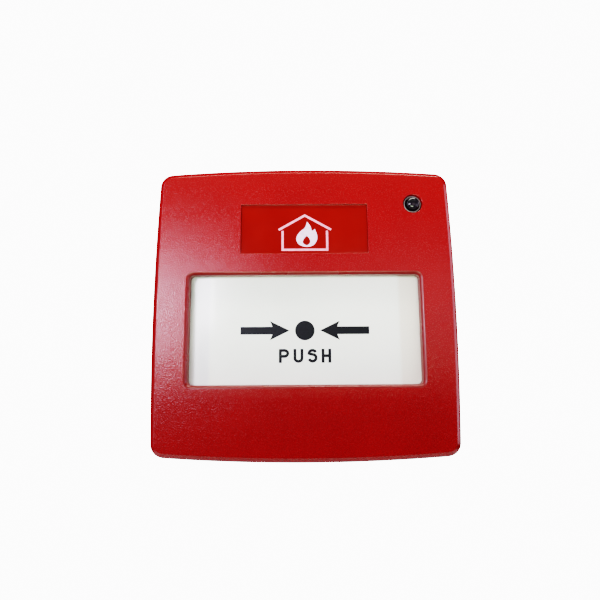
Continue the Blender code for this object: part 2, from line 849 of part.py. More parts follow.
def all_screws():
    cap_head = (1.2, 2.6)
    for name, side in (("rear_cover_screw_upper", 1), ("rear_cover_screw_lower", -1)):
        cross_screw(name, (0, cap_screw_z(side)), 2.4, 1.1, cap_head, -3.1, 0.7, facing=1)
    fixing_head = (-6.8, -8.7)
    for name, side in (("fixing_screw_left", -1), ("fixing_screw_right", 1)):
        cross_screw(name, (side * SCREW_X, 0), 3.4, 1.75, fixing_head, 16.0, 1.0)
    frame_head = (FRAME_FRONT - GAP, FRAME_FRONT - GAP - 1.5)
    for i, place in enumerate(POSTS, 1):
        cross_screw(f"frame_screw_{i}", place, 2.5, 1.1, frame_head, -4.6, 0.7)


def frame_bodies():
    """What stands on the frame's plate: cheeks, rails, guides, ears, a seat and the legs."""

    def block(name, low, high):
        return box(name, low, high, collection=CUTTERS)

    shelf_low, shelf_high = FLAG_Z[0] - 1.0, 38.6
    for side in (-1, 1):
        low, high = sorted((side * (FRAME_HALF - 3.0), side * FRAME_HALF))
        yield block(f"cheek_{side}", (low, -21.4, -28.0), (high, JOINT_FRONT, -20.3))
        low, high = sorted((side * RAIL_X, side * (RAIL_X + RAIL_WIDTH)))
        yield block(f"flag_rail_{side}", (low, -24.0, shelf_low), (high, JOINT_FRONT, shelf_high))
        low, high = sorted((side * (SLIDE_HALF + 0.4), side * (SLIDE_HALF + 2.4)))
        yield block(f"slide_rail_{side}", (low, -19.4, -37.8), (high, JOINT_FRONT, -27.5))
    for x in (SWITCH_X - 5.0, SWITCH_X + 3.5):
        yield block(f"lever_ear_{x}", (x, -18.5, -12.6), (x + 1.5, JOINT_FRONT, -7.4))
    reach = RAIL_X + PAST
    yield block("flag_guide", (-reach, -22.9, shelf_low), (reach, -21.7, shelf_high))
    yield block("flag_shelf", (-reach, -23.7, shelf_high - 1.2), (reach, JOINT_FRONT, 39.0))
    yield block("spring_seat", (-4, -19.0, -18.2), (4, JOINT_FRONT, -16.6))
    yield rod("pipe_holder", (LED_X, 0, LED_Z), PIPE_R + 1.6, -17, JOINT_FRONT, collection=CUTTERS)
    for i, (x, z) in enumerate(((-30, 10), (22, 33), (-22, -26), (24, -26))):
        leg_root = FRAME_REAR - 0.6
        yield rod(f"board_leg_{i}", (x, 0, z), 1.8, leg_root, CHIP_REAR, collection=CUTTERS, sides=12)


def frame_bores():
    axis_y, axis_z = PANEL_AXIS[1:]
    front, rear = FRAME_FRONT - 1.6, FRAME_REAR + 0.9
    for side in (-1, 1):
        low, high = sorted((side * 30, side * (FRAME_HALF + PAST)))
        yield cut_rod(f"cheek_bore_{side}", (0, axis_y, axis_z), 1.65, low, high, "x")
        yield cut_rod(f"driver_hole_{side}", (side * SCREW_X, 0, 0), 4.7, front, rear)
    yield cut_rod("pin_bore", (0, *LEVER_AXIS[1:]), 1.2, 4, 16, "x", sides=16)
    yield cut_rod("pipe_bore", (LED_X, 0, LED_Z), PIPE_R + GAP, -18, rear)
    yield cut_box("switch_hole", (6.6, front, -11.2), (13.4, rear, 2.0))
    yield cut_box("tab_slot", (-3, -24, 13), (3, -21, 36))
    yield cut_box("arm_slot", (-2.1, -13.6, -19), (2.1, -10.7, -16))
    yield cut_box("board_view_left", (-27, front, -37), (-13, rear, -29.6))
    yield cut_box("board_view_right", (13, front, -37), (27, rear, -29.6))
    yield cut_box("board_view_side", (-26, front, -16), (-12, rear, 6))
    for i, (x, z) in enumerate(POSTS):
        yield cut_rod(f"frame_hole_{i}", (x, 0, z), POST_BORE_R, front, rear, sides=16)


def mechanism_frame():
    low = (-FRAME_HALF, FRAME_FRONT, -FRAME_HALF)
    high = (FRAME_HALF, FRAME_REAR, FRAME_HALF)
    frame = box("mechanism_frame", low, high, GREY)
    join(frame, *frame_bodies())
    cut(frame, *frame_bores())
    return frame


def circuit_board():
    board = box("circuit_board", (-38, BOARD_FRONT, -36.5), (38, BOARD_REAR, 38), BOARD)
    notch = POST_R + 0.6
    past_edge = 40
    front, rear = BOARD_FRONT - PAST, BOARD_REAR + PAST
    for i, (x, z) in enumerate(POSTS):
        z_far = math.copysign(past_edge, z) if abs(z) > 30 else z + notch
        x_low, x_high = sorted((x - math.copysign(notch, x), math.copysign(past_edge, x)))
        z_low, z_high = sorted((z - math.copysign(notch, z), z_far))
        cut(board, cut_box(f"board_notch_{i}", (x_low, front, z_low), (x_high, rear, z_high)))
    for side in (-1, 1):
        cut(board, cut_rod(f"board_hole_{side}", (side * SCREW_X, 0, 0), 5.2, front, rear))
    return board


def board_chips():
    sizes = ((-20, -33, 5, 3), (-19, -4, 4.5, 4.5), (-19, -12, 2.2, 1.8))
    for i, (x, z, half_x, half_z) in enumerate(sizes, 1):
        low = (x - half_x, CHIP_REAR - 1.7, z - half_z)
        box(f"board_chip_{i}", low, (x + half_x, CHIP_REAR, z + half_z), CHIP, bevel=0.15)


def board_capacitor():
    can = rod("board_capacitor", (20, 0, -33.2), 2.9, CHIP_REAR - 7.5, CHIP_REAR, paint=STEEL)
    round_edges(can, 0.4)
    return can


def micro_switch():
    front = -12.6
    x_low, x_high = spread(SWITCH_X, SWITCH_X, 3.0)
    switch = box("micro_switch", (x_low, front, SWITCH_Z[0]), (x_high, CHIP_REAR, SWITCH_Z[1]), CHIP)
    bore = cut_rod("plunger_bore", (SWITCH_X, 0, PLUNGER_Z), 1.3, front - PAST, -9.2, sides=16)
    cut(switch, bore)
    return switch


def lever_pin():
    return rod("lever_pin", LEVER_AXIS, 0.9, 4.6, 15.4, "x", STEEL, sides=16)


def status_led():
    """Small lamp on the board: a round tip, a straight body and a foot."""
    body_r, foot_r = 1.45, 1.75
    profile = [
        (0.0, 8.3),
        (0.9, 8.0),
        (body_r, 7.2),
        (body_r, 6.4),
        (foot_r, 6.4),
        (foot_r, -CHIP_REAR),
        (0.0, -CHIP_REAR),
    ]
    return turned("status_led", (LED_X, 0, LED_Z), profile, CLEAR, steps=16)


def light_pipe():
    return rod("light_pipe", (LED_X, 0, LED_Z), PIPE_R, *PIPE, paint=CLEAR)


def terminal_header():
    """Socket on the board's rear with six pins for the plug."""
    front = BOARD_REAR + GAP
    rear = 4.4
    header = box("terminal_header", (-16.3, front, -14.6), (16.3, rear, -5.0), BLACK)
    cut(header, cut_box("header_socket", (-15.3, -2.0, -13.5), (15.3, rear + PAST, -6.0)))
    for i, x in enumerate(POLES):
        low = (x - PIN_HALF, -2.6, PIN_Z - PIN_HALF)
        high = (x + PIN_HALF, rear - 0.6, PIN_Z + PIN_HALF)
        join(header, box(f"header_pin_{i}", low, high, collection=CUTTERS))
    return header


def dial_housings():
    front = BOARD_REAR + GAP
    rear = 4.0
    for name, side in (("dial_housing_tens", 1), ("dial_housing_units", -1)):
        x_low, x_high = spread(side * DIAL_X, side * DIAL_X, HOUSING_HALF)
        z_low, z_high = spread(DIAL_Z, DIAL_Z, HOUSING_HALF)
        housing = box(name, (x_low, front, z_low), (x_high, rear, z_high), BLACK)
        bore = (side * DIAL_X, 0, DIAL_Z)
        cut(housing, cut_rod(name + "_bore", bore, DIAL_R + 0.4, DIAL_Y[0] - GAP, rear + PAST))


def springs():
    """Each spring is given its middle, radius, wire radius, ends, turns and axis."""
    flag_top = 37.1
    coil("flag_spring", (0, -19.4, (25.6 + flag_top) / 2), 1.8, 0.3, 25.6, flag_top, 7, "z")
    seat = -18.5
    slide_top = SLIDE_Z[1] + GAP
    coil("reset_spring", (0, -16.0, (slide_top + seat) / 2), 2.1, 0.35, slide_top, seat, 6, "z")
    carrier_rear = -20.2
    frame_face = FRAME_FRONT - GAP
    coil(
        "panel_spring",
        (-14, (carrier_rear + frame_face) / 2, 2.0),
        2.2,
        0.35,
        carrier_rear,
        frame_face,
        6,
        "y",
    )


def build():
    cover_pieces = (front_cover(), label_panel(), led_lens(), led_bezel())
    hang_on(body_origin("cover_axis", COVER_AXIS), *cover_pieces)
    hang_on(body_origin("panel_axis", PANEL_AXIS), press_panel(), panel_carrier())
    hang_on(body_origin("lever_axis", LEVER_AXIS), trip_lever())
    plug_pieces = (terminal_plug(), *terminal_screws(), *terminal_clamps())
    hang_on(body_origin("plug_axis", (0, PLUG_Y[0], PIN_Z)), *plug_pieces)
    address_dial("address_dial_tens", 1)
    address_dial("address_dial_units", -1)
    warning_flag()
    switch_plunger()
    reset_slide()
    cover_latch()
    base_plate()
    rear_cover()
    all_screws()
    mechanism_frame()
    circuit_board()
    board_chips()
    board_capacitor()
    micro_switch()
    lever_pin()
    status_led()
    light_pipe()
    terminal_header()
    dial_housings()
    springs()


build()
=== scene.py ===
"""Looks of the manual call point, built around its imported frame.

Metres, in the frame's own axes: +X to the viewer's right, +Z up, -Y towards the viewer, and
the origin in the middle of the wall plane. Shape sizes are written in millimetres.
"""

import json
import math

import bmesh
import bpy
from mathutils import Matrix, Vector


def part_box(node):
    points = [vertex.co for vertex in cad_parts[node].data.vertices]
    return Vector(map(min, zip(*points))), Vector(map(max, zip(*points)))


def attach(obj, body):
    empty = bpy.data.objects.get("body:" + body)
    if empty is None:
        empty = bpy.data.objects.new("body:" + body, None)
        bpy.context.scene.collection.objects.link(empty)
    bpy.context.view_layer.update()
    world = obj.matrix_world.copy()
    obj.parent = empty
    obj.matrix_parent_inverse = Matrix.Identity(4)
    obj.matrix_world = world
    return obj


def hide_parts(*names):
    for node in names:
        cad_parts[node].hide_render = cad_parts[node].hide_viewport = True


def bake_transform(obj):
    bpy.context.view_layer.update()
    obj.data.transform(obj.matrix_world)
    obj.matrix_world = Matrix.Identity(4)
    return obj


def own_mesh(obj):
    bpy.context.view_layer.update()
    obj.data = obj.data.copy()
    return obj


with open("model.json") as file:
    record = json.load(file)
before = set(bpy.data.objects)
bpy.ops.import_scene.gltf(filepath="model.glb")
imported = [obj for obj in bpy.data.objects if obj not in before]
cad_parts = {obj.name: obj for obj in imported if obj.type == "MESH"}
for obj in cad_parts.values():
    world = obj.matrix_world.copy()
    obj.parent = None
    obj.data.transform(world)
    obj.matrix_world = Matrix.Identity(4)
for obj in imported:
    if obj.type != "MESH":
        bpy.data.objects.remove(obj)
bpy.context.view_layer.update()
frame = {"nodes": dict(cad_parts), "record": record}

MM = 0.001
NODES = frame["nodes"]
RECORD = frame["record"]
BODY_OF = {node: body for body, nodes in RECORD["behaviour"]["bodies"].items() for node in nodes}


def span_of(node, axis):
    """Where a CAD node starts and ends along an axis, in millimetres."""
    low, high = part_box(node)
    return round(low[axis] / MM, 3), round(high[axis] / MM, 3)


# The cover: its outer size is the frame's, its top and sides bow outwards, and its face is
# a little proud in the middle of its height
WIDTH = 2 * span_of("front_cover", 0)[1]
HEIGHT = 2 * span_of("front_cover", 2)[1]
DEPTH = -span_of("front_cover", 1)[0]
SAG_TOP = 1.75
SAG_SIDE = 0.7
CORNER_R = 4.1
FACE_DOME = 1.1
WALL = 2.2
COVER_REAR = -4.3

# What sits in the cover's face
LED_X = 34.2
LED_Z = 33.2
LABEL_X = 19.85
LABEL_LOW = 17.1
LABEL_HIGH = 33.2
LABEL_DEPTH = 0.55
PANEL_FRONT = span_of("press_panel", 1)[0]
BEND_X = 28.8

# How far a print stands in front of its surface
PRINT_LIFT = 0.02


# Material tools

class Paint:
    """A node material with a Principled shader, and short ways to add to it."""

    def __init__(self, name, **values):
        self.mat = bpy.data.materials.new(name)
        self.mat.use_nodes = True
        self.tree = self.mat.node_tree
        self.shader = self.tree.nodes["Principled BSDF"]
        self.coords = self.tree.nodes.new("ShaderNodeTexCoord")
        self.bump_chain = None
        for key, value in values.items():
            socket = self.shader.inputs[key.replace("_", " ")]
            socket.default_value = (*value, 1.0) if isinstance(value, tuple) else value

    def node(self, kind, **settings):
        made = self.tree.nodes.new(kind)
        for key, value in settings.items():
            socket = key.replace("_", " ")
            if socket in made.inputs:
                made.inputs[socket].default_value = value
            else:
                setattr(made, key, value)
        return made

    def link(self, output, socket):
        self.tree.links.new(output, socket)

    def noise(self, grain, detail=2.0, rough=0.5):
        """Noise whose features are about grain millimetres across."""
        made = self.node("ShaderNodeTexNoise", Scale=1.0 / (grain * MM), Detail=detail, Roughness=rough)
        self.link(self.coords.outputs["Object"], made.inputs["Vector"])
        return made.outputs["Fac"]

    def along(self, axis):
        """The place along an axis, in metres."""
        made = self.node("ShaderNodeSeparateXYZ")
        self.link(self.coords.outputs["Object"], made.inputs["Vector"])
        return made.outputs[axis]

    def span(self, value, low, high, to_low=0.0, to_high=1.0):
        """A value's range mapped to another, clamped."""
        ends = {"From_Min": low, "From_Max": high, "To_Min": to_low, "To_Max": to_high}
        made = self.node("ShaderNodeMapRange", **ends)
        self.link(value, made.inputs["Value"])
        return made.outputs["Result"]

    def mix(self, share, first, second):
        """Two colours mixed by a value; each is a colour or an output."""
        made = self.node("ShaderNodeMix", data_type="RGBA")
        self.link(share, made.inputs["Factor"])
        for index, colour in ((6, first), (7, second)):
            if isinstance(colour, tuple):
                made.inputs[index].default_value = (*colour, 1.0)
            else:
                self.link(colour, made.inputs[index])
        return made.outputs[2]

    def colour(self, output):
        self.link(output, self.shader.inputs["Base Color"])

    def drift(self, grain, detail, first, second, low=0.3, high=0.7):
        """A colour that wanders between two over patches of about grain millimetres."""
        tone = self.noise(grain, detail)
        return self.mix(self.span(tone, low, high), first, second)

    def roughness(self, value, to_low, to_high, low=0.3, high=0.7):
        self.link(self.span(value, low, high, to_low, to_high), self.shader.inputs["Roughness"])

    def bump(self, value, strength, depth):
        """A height of depth millimetres, laid over the bumps before it."""
        made = self.node("ShaderNodeBump", Strength=strength, Distance=depth * MM)
        self.link(value, made.inputs["Height"])
        if self.bump_chain:
            self.link(self.bump_chain, made.inputs["Normal"])
        self.bump_chain = made.outputs["Normal"]
        self.link(self.bump_chain, self.shader.inputs["Normal"])


# Materials

def textured_red():
    """Fine spark-eroded face of the moulded cover."""
    paint = Paint("red_textured", Specular_IOR_Level=0.5)
    paint.colour(paint.drift(14.0, 3.0, (0.203, 0.0022, 0.0010), (0.223, 0.0030, 0.0015)))
    grain = paint.noise(0.28, 0.5)
    paint.roughness(grain, 0.20, 0.28, 0.35, 0.65)
    paint.bump(grain, 1.0, 0.05)
    paint.bump(paint.noise(1.1, 2.0), 0.25, 0.06)
    return paint.mat


def polished_red(name, rough, painted_shade_factor=1.0):
    """Smooth rim, lip and walls of the cover; a shade factor under 1 darkens the red as painted shade."""
    paint = Paint(name)
    # Painted shade: the red is scaled down by the shade factor
    paint.colour(paint.drift(14.0, 3.0, (0.196 * painted_shade_factor, 0.002, 0.001), (0.218 * painted_shade_factor, 0.003, 0.002)))
    paint.roughness(paint.noise(8.0, 1.0, 0.6), rough - 0.05, rough + 0.05)
    paint.bump(paint.noise(6.0, 0.0), 0.05, 0.02)
    return paint.mat


def inner_red():
    """Inside of the cover, straight from the mould."""
    paint = Paint("red_inside")
    paint.colour(paint.drift(9.0, 3.0, (0.24, 0.003, 0.002), (0.28, 0.005, 0.003)))
    paint.roughness(paint.noise(2.0, 4.0), 0.35, 0.5)
    paint.bump(paint.noise(0.9, 3.0), 0.2, 0.05)
    return paint.mat


def label_red():
    """Glossy face of the label plate."""
    paint = Paint("label_glossy", Specular_IOR_Level=0.5, Coat_Weight=0.3, Coat_Roughness=0.05)
    paint.colour(paint.drift(11.0, 2.0, (0.180, 0.0060, 0.0008), (0.200, 0.0080, 0.0015)))
    paint.roughness(paint.noise(4.0, 3.0), 0.10, 0.16)
    paint.bump(paint.noise(6.0, 2.0), 0.06, 0.05)
    return paint.mat


def panel_white():
    """Off-white gloss panel; its bent ends are painted darker with painted shade and painted light, cooler
    at the left end and yellower at the right.
    """
    paint = Paint("panel_white", Coat_Weight=0.2, Coat_Roughness=0.08)
    middle = paint.drift(20.0, 2.0, (0.715, 0.75, 0.68), (0.745, 0.78, 0.71))
    # Painted shade and painted light on the bent ends: darker, cool at the left from the window, yellow at
    # the right from the room
    painted_light_left_mask = paint.span(paint.along("X"), -BEND_X * MM, -(BEND_X + 1.0) * MM)
    painted_light_right_mask = paint.span(paint.along("X"), BEND_X * MM, (BEND_X + 1.0) * MM)
    painted_light_left = paint.mix(painted_light_left_mask, middle, (0.66, 0.69, 0.68))
    paint.colour(paint.mix(painted_light_right_mask, painted_light_left, (0.665, 0.66, 0.575)))
    paint.roughness(paint.noise(5.0, 3.0), 0.16, 0.24)
    paint.bump(paint.noise(9.0, 2.0), 0.05, 0.06)
    return paint.mat


def print_ink(name, colour, rough=0.3, shine=0.5):
    """Printed ink, a little uneven."""
    paint = Paint(name, Specular_IOR_Level=shine)
    lighter = tuple(min(c * 1.25 + 0.002, 1.0) for c in colour)
    paint.colour(paint.drift(0.8, 3.0, colour, lighter))
    paint.roughness(paint.noise(0.5, 3.0), rough - 0.05, rough + 0.08)
    paint.bump(paint.noise(0.3, 2.0), 0.1, 0.01)
    return paint.mat


def moulded(name, colour, rough=0.42, grain=0.5, depth=0.04):
    """A moulded technical plastic with a fine grain and slight colour drift."""
    paint = Paint(name)
    lighter = tuple(min(c * 1.22 + 0.004, 1.0) for c in colour)
    paint.colour(paint.drift(7.0, 4.0, colour, lighter))
    texture = paint.noise(grain, 3.0, 0.6)
    paint.roughness(texture, rough - 0.06, rough + 0.1)
    paint.bump(texture, 0.35, depth)
    return paint.mat


def metal(name, colour, rough=0.28):
    """Plated metal with fine drawing marks."""
    paint = Paint(name, Metallic=1.0)
    marks = paint.noise(0.35, 4.0, 0.65)
    darker = tuple(c * 0.82 for c in colour)
    paint.colour(paint.drift(2.2, 3.0, darker, colour, 0.35, 0.65))
    paint.roughness(marks, rough - 0.08, rough + 0.12)
    paint.bump(marks, 0.18, 0.02)
    return paint.mat


def dark_lens():
    """Dark glossy dome of the indicator."""
    paint = Paint("lens_smoke", IOR=1.36)
    paint.colour(paint.drift(1.6, 2.0, (0.010, 0.009, 0.012), (0.016, 0.013, 0.018)))
    paint.roughness(paint.noise(1.2, 2.0), 0.03, 0.07)
    paint.bump(paint.noise(1.5, 1.0), 0.03, 0.02)
    return paint.mat


def clear_plastic():
    """Clear light pipe and lamp."""
    paint = Paint("clear_moulded", Base_Color=(0.86, 0.89, 0.90), Transmission_Weight=0.9, IOR=1.49)
    paint.roughness(paint.noise(1.5, 2.0), 0.04, 0.10)
    paint.bump(paint.noise(1.5, 1.0), 0.03, 0.02)
    return paint.mat


MATS = {
    "face": textured_red(),
    "rim": polished_red("red_polished", 0.21),
    # The lip's red is darkened to 0.7 as painted shade for the window's recessed walls
    "lip": polished_red("red_lip_painted_shade", 0.30, 0.7),
    "inside": inner_red(),
    "label": label_red(),
    "white": panel_white(),
    "ink": print_ink("print_black", (0.003, 0.004, 0.007), 0.4, 0.25),
    "house": print_ink("print_pink", (0.66, 0.24, 0.31)),
    "flame": print_ink("print_lilac", (0.54, 0.41, 0.56)),
    "black": moulded("black_moulded", (0.018, 0.018, 0.020)),
    "grey": moulded("grey_moulded", (0.085, 0.087, 0.092)),
    "base": moulded("base_red", (0.23, 0.004, 0.003), 0.4, 0.6, 0.05),
    "board": moulded("board_green", (0.006, 0.075, 0.028), 0.3, 1.5, 0.01),
    "track": moulded("track_green", (0.02, 0.16, 0.06), 0.3, 1.5, 0.01),
    "clear": clear_plastic(),
    "bezel": moulded("bezel_moulded", (0.13, 0.112, 0.118), 0.3, 0.8, 0.01),
    "yellow": moulded("yellow_moulded", (0.80, 0.50, 0.02), 0.35),
    "green": moulded("green_moulded", (0.010, 0.13, 0.045), 0.35),
    "pale": moulded("pale_moulded", (0.52, 0.51, 0.46), 0.35),
    "steel": metal("plated_steel", (0.66, 0.66, 0.64)),
    "spring": metal("spring_steel", (0.55, 0.55, 0.55), 0.22),
    "lens": dark_lens(),
}


# Mesh tools

def linked(name, data):
    """A new object in the scene."""
    obj = bpy.data.objects.new(name, data)
    bpy.context.scene.collection.objects.link(obj)
    return obj


def evaluated_mesh(obj):
    """A new mesh of what an object shows, with its modifiers applied."""
    bpy.context.view_layer.update()
    return bpy.data.meshes.new_from_object(obj.evaluated_get(bpy.context.evaluated_depsgraph_get()))


def mesh_of_guide(name, curve, place=None):
    """The mesh of a curve or text, which is then thrown away."""
    guide = linked(name, curve)
    if place is not None:
        guide.matrix_world = place
    mesh = evaluated_mesh(guide)
    mesh.transform(guide.matrix_world)
    bpy.data.objects.remove(guide)
    mesh.name = name
    return mesh


def mesh_from(bm, name):
    """A new mesh from a bmesh, which is freed."""
    mesh = bpy.data.meshes.new(name)
    bm.to_mesh(mesh)
    bm.free()
    return mesh


def add_object(name, mesh, body, paints, covers=()):
    """Links a new piece, puts its materials on, and ties it to its body."""
    obj = linked(name, mesh)
    for paint in paints:
        mesh.materials.append(MATS[paint])
    if body:
        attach(obj, body)
    if covers:
        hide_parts(*covers)
    return obj


def baked(obj):
    """Turns the object's modifiers into its mesh."""
    mesh = evaluated_mesh(obj)
    old = obj.data
    obj.modifiers.clear()
    obj.data = mesh
    bpy.data.meshes.remove(old)


def round_edges(obj, width, segments, angle):
    """Rounds every edge sharper than an angle in degrees."""
    bevel = obj.modifiers.new("edges", "BEVEL")
    bevel.width = width * MM
    bevel.segments = segments
    bevel.limit_method = "ANGLE"
    bevel.angle_limit = math.radians(angle)
    baked(obj)


def shade(obj):
    """Smooth shading, sharp above 35 degrees, with normals led by the large faces."""
    obj.data.shade_smooth()
    obj.data.set_sharp_from_angle(angle=math.radians(35.0))
    weight = obj.modifiers.new("weighted", "WEIGHTED_NORMAL")
    weight.keep_sharp = True
    weight.weight = 80


# Outlines, as (x, z) points in millimetres

def face_y(z, depth=0.0):
    """The y of a place behind the face, at a height."""
    return -DEPTH + FACE_DOME * (z / (HEIGHT / 2)) ** 2 + depth


def arc(x, z, radius_x, radius_z, start, end, steps=10):
    """Points along part of an ellipse, from one angle to another in degrees."""
    turn = [math.radians(start + (end - start) * i / steps) for i in range(steps + 1)]
    return [(x + radius_x * math.cos(a), z + radius_z * math.sin(a)) for a in turn]


def quarter_round(radius, tip, rise, steps):
    """Points from the tip of a round end, on its axis, out to its full radius."""
    profile = [(0.0, tip)]
    for i in range(1, steps + 1):
        angle = math.pi / 2 * i / steps
        profile.append((radius * math.sin(angle), tip + rise * (1 - math.cos(angle))))
    return profile


def barrel(inset):
    """The cover's outline, running anticlockwise."""
    side_steps = 15
    arc_steps = 12
    half_x = WIDTH / 2 - inset
    half_z = HEIGHT / 2 - inset
    radius = max(CORNER_R - inset, 0.6)
    lean_top = 2 * SAG_TOP / half_x
    lean_side = 2 * SAG_SIDE / half_z
    centre_x = half_x - SAG_SIDE - radius * (1 - lean_side)
    centre_z = half_z - SAG_TOP - radius * (1 - lean_top)
    first = math.atan(lean_side)
    last = math.pi / 2 - math.atan(lean_top)
    end_z = centre_z + radius * math.sin(first)
    quarter = []
    for i in range(side_steps + 1):
        z = end_z * i / side_steps
        quarter.append((half_x - SAG_SIDE * (z / half_z) ** 2, z))
    shift = quarter[-1][0] - (centre_x + radius * math.cos(first))
    for i in range(1, arc_steps):
        angle = first + (last - first) * i / arc_steps
        x = centre_x + shift * (1 - i / arc_steps) + radius * math.cos(angle)
        quarter.append((x, centre_z + radius * math.sin(angle)))
    end_x = centre_x + radius * math.cos(last)
    for i in range(side_steps + 1):
        x = end_x * (1 - i / side_steps)
        quarter.append((x, half_z - SAG_TOP * (x / half_x) ** 2))
    top = quarter + [(-x, z) for x, z in reversed(quarter[:-1])]
    return top + [(x, -z) for x, z in reversed(top[1:-1])]


def rounded_box(x_low, x_high, z_low, z_high, radius):
    """A rectangle with round corners, running anticlockwise."""
    points = []
    corners = ((x_high, z_low, -90), (x_high, z_high, 0), (x_low, z_high, 90), (x_low, z_low, 180))
    for x, z, start in corners:
        centre_x = x - math.copysign(radius, x - (x_low + x_high) / 2)
        centre_z = z - math.copysign(radius, z - (z_low + z_high) / 2)
        points += arc(centre_x, centre_z, radius, radius, start, start + 90, 8)
    return points


def circle(x, z, radius, steps=48):
    """Points round a circle."""
    turn = [math.tau * i / steps for i in range(steps)]
    return [(x + radius * math.cos(a), z + radius * math.sin(a)) for a in turn]


def mitre(before, after):
    """The offset to the right of a bend that lies one unit from both its sides."""
    first = Vector((before.y, -before.x))
    second = Vector((after.y, -after.x))
    return (first + second) / (1 + first.dot(second))


# Rings and skirts

def new_verts(bm, points):
    """New vertices at (x, y, z) places in millimetres."""
    return [bm.verts.new([c * MM for c in point]) for point in points]


def bridge(bm, first, second, index=0):
    """Faces between two rings of vertices; a ring may be a single point."""
    count = max(len(first), len(second))
    for i in range(count):
        j = (i + 1) % count
        if len(first) == 1:
            verts = (first[0], second[j], second[i])
        elif len(second) == 1:
            verts = (first[i], first[j], second[0])
        else:
            verts = (first[i], first[j], second[j], second[i])
        bm.faces.new(verts).material_index = index


def sheet(outlines):
    """The flat of the face with its openings, cut into level strips that follow its curve."""
    bm = bmesh.new()
    edges = []
    for points in outlines:
        verts = new_verts(bm, [(x, 0, z) for x, z in points])
        edges += [bm.edges.new(pair) for pair in zip(verts, verts[1:] + verts[:1])]
    bmesh.ops.triangle_fill(bm, edges=edges, use_beauty=True, use_dissolve=False)
    for i in range(CUTS):
        level = (0, 0, (LOWEST_CUT + CUT_STEP * i) * MM)
        everything = [*bm.verts, *bm.edges, *bm.faces]
        bmesh.ops.bisect_plane(bm, geom=everything, dist=2e-5, plane_co=level, plane_no=(0, 0, 1))
    for vert in bm.verts:
        vert.co.y = face_y(vert.co.z / MM) * MM
    return bm


def boundary_loops(bm):
    """The open edges of a mesh as ordered vertex loops, each anticlockwise in (x, z)."""
    left = set(e for e in bm.edges if len(e.link_faces) == 1)
    loops = []
    while left:
        edge = left.pop()
        start, here = edge.verts
        loop = [start, here]
        while True:
            following = [e for e in here.link_edges if e in left]
            if not following:
                break
            left.discard(following[0])
            here = following[0].other_vert(here)
            if here == start:
                break
            loop.append(here)
        area = 0.0
        for a, b in zip(loop, loop[1:] + loop[:1]):
            area += a.co.x * b.co.z - b.co.x * a.co.z
        if area < 0:
            loop.reverse()
        loops.append((abs(area) / 2, loop))
    loops.sort(key=lambda pair: -pair[0])
    return [loop for area, loop in loops]


def fill(bm, edges, index):
    """Fills loops of edges with faces of one material."""
    made = bmesh.ops.triangle_fill(bm, edges=edges, use_beauty=True, use_dissolve=False)
    for item in made["geom"]:
        if isinstance(item, bmesh.types.BMFace):
            item.material_index = index


class Skirt:
    """Rings of faces grown from a loop, each a set offset from the first along its normals."""

    def __init__(self, bm, loop, away=1.0):
        self.bm = bm
        self.loop = loop
        self.base = [Vector((v.co.x, v.co.z)) / MM for v in loop]
        count = len(loop)
        self.normals = []
        for i in range(count):
            before = (self.base[i] - self.base[i - 1]).normalized()
            after = (self.base[(i + 1) % count] - self.base[i]).normalized()
            self.normals.append(mitre(before, after) * away)

    def grow(self, offset, depth=None, y=None, index=0):
        """Adds a ring: depth is behind the face, y an absolute place."""
        places = [start + normal * offset for start, normal in zip(self.base, self.normals)]
        fresh = new_verts(self.bm, [(p.x, face_y(p.y, depth) if y is None else y, p.y) for p in places])
        bridge(self.bm, self.loop, fresh, index)
        self.loop = fresh

    def grow_rings(self, rings, index):
        """Adds a ring for each (offset, depth)."""
        for offset, depth in rings:
            self.grow(offset, depth, index=index)

    def fillet(self, offset, radius, steps, index):
        """A quarter round from the face outwards and back."""
        for across, depth in quarter_round(radius, 0.0, radius, steps)[1:]:
            self.grow(offset + across, depth, index=index)

    def edges(self):
        """The edges of the last ring."""
        return [self.bm.edges.get((a, b)) for a, b in zip(self.loop, self.loop[1:] + self.loop[:1])]


# Cover

# The window's edge on the face, the round of its lip, and the skirt behind the lip
LIP_X = 36.35
LIP_LOW = -23.85
LIP_HIGH = 11.6
LIP_CORNER = 2.4
LIP_R = 1.05
SKIRT_END = 3.2
SKIRT_WALL = 1.5

# The rounded rim, as (offset, depth) from the edge of the flat face
RIM_INSET = 1.75
RIM_BAND = ((0.12, 0.02), (0.22, 0.07), (0.6, 0.28), (1.0, 0.55), (1.35, 0.85), (1.6, 1.25), (1.72, 1.7))

# The level cuts through the face, clear of the corners of its openings
CUT_STEP = 3.0
LOWEST_CUT = -41.63
CUTS = 29

LED_HOLE_R = 3.0
LED_HOLE_ROUND = 0.2
RECESS_DEPTH = 1.25
HOOK_X = 22.0
LATCH_X = 14.0
PAST_COVER = -47
FACE, RIM, LIP, INSIDE = range(4)


def grow_outside(skirt):
    """The rim, the cover's sides, their rear edge, and the inside up to the back of the face."""
    inner = RIM_INSET - WALL
    skirt.grow(0.04, 0.0, index=FACE)
    skirt.grow_rings(RIM_BAND, RIM)
    for y in (-DEPTH + 3.5, -20.0, -12.0, COVER_REAR - 0.25):
        skirt.grow(RIM_INSET, y=y, index=RIM)
    skirt.grow(RIM_INSET - 0.08, y=COVER_REAR - 0.07, index=RIM)
    skirt.grow(RIM_INSET - 0.25, y=COVER_REAR, index=RIM)
    for offset, y in ((0.2, COVER_REAR), (0.0, COVER_REAR - 0.2), (0.0, -14.0)):
        skirt.grow(inner + offset, y=y, index=INSIDE)
    round_in = 0.8
    for across, depth in reversed(quarter_round(round_in, WALL, round_in, 4)):
        skirt.grow(inner - round_in + across, depth, index=INSIDE)


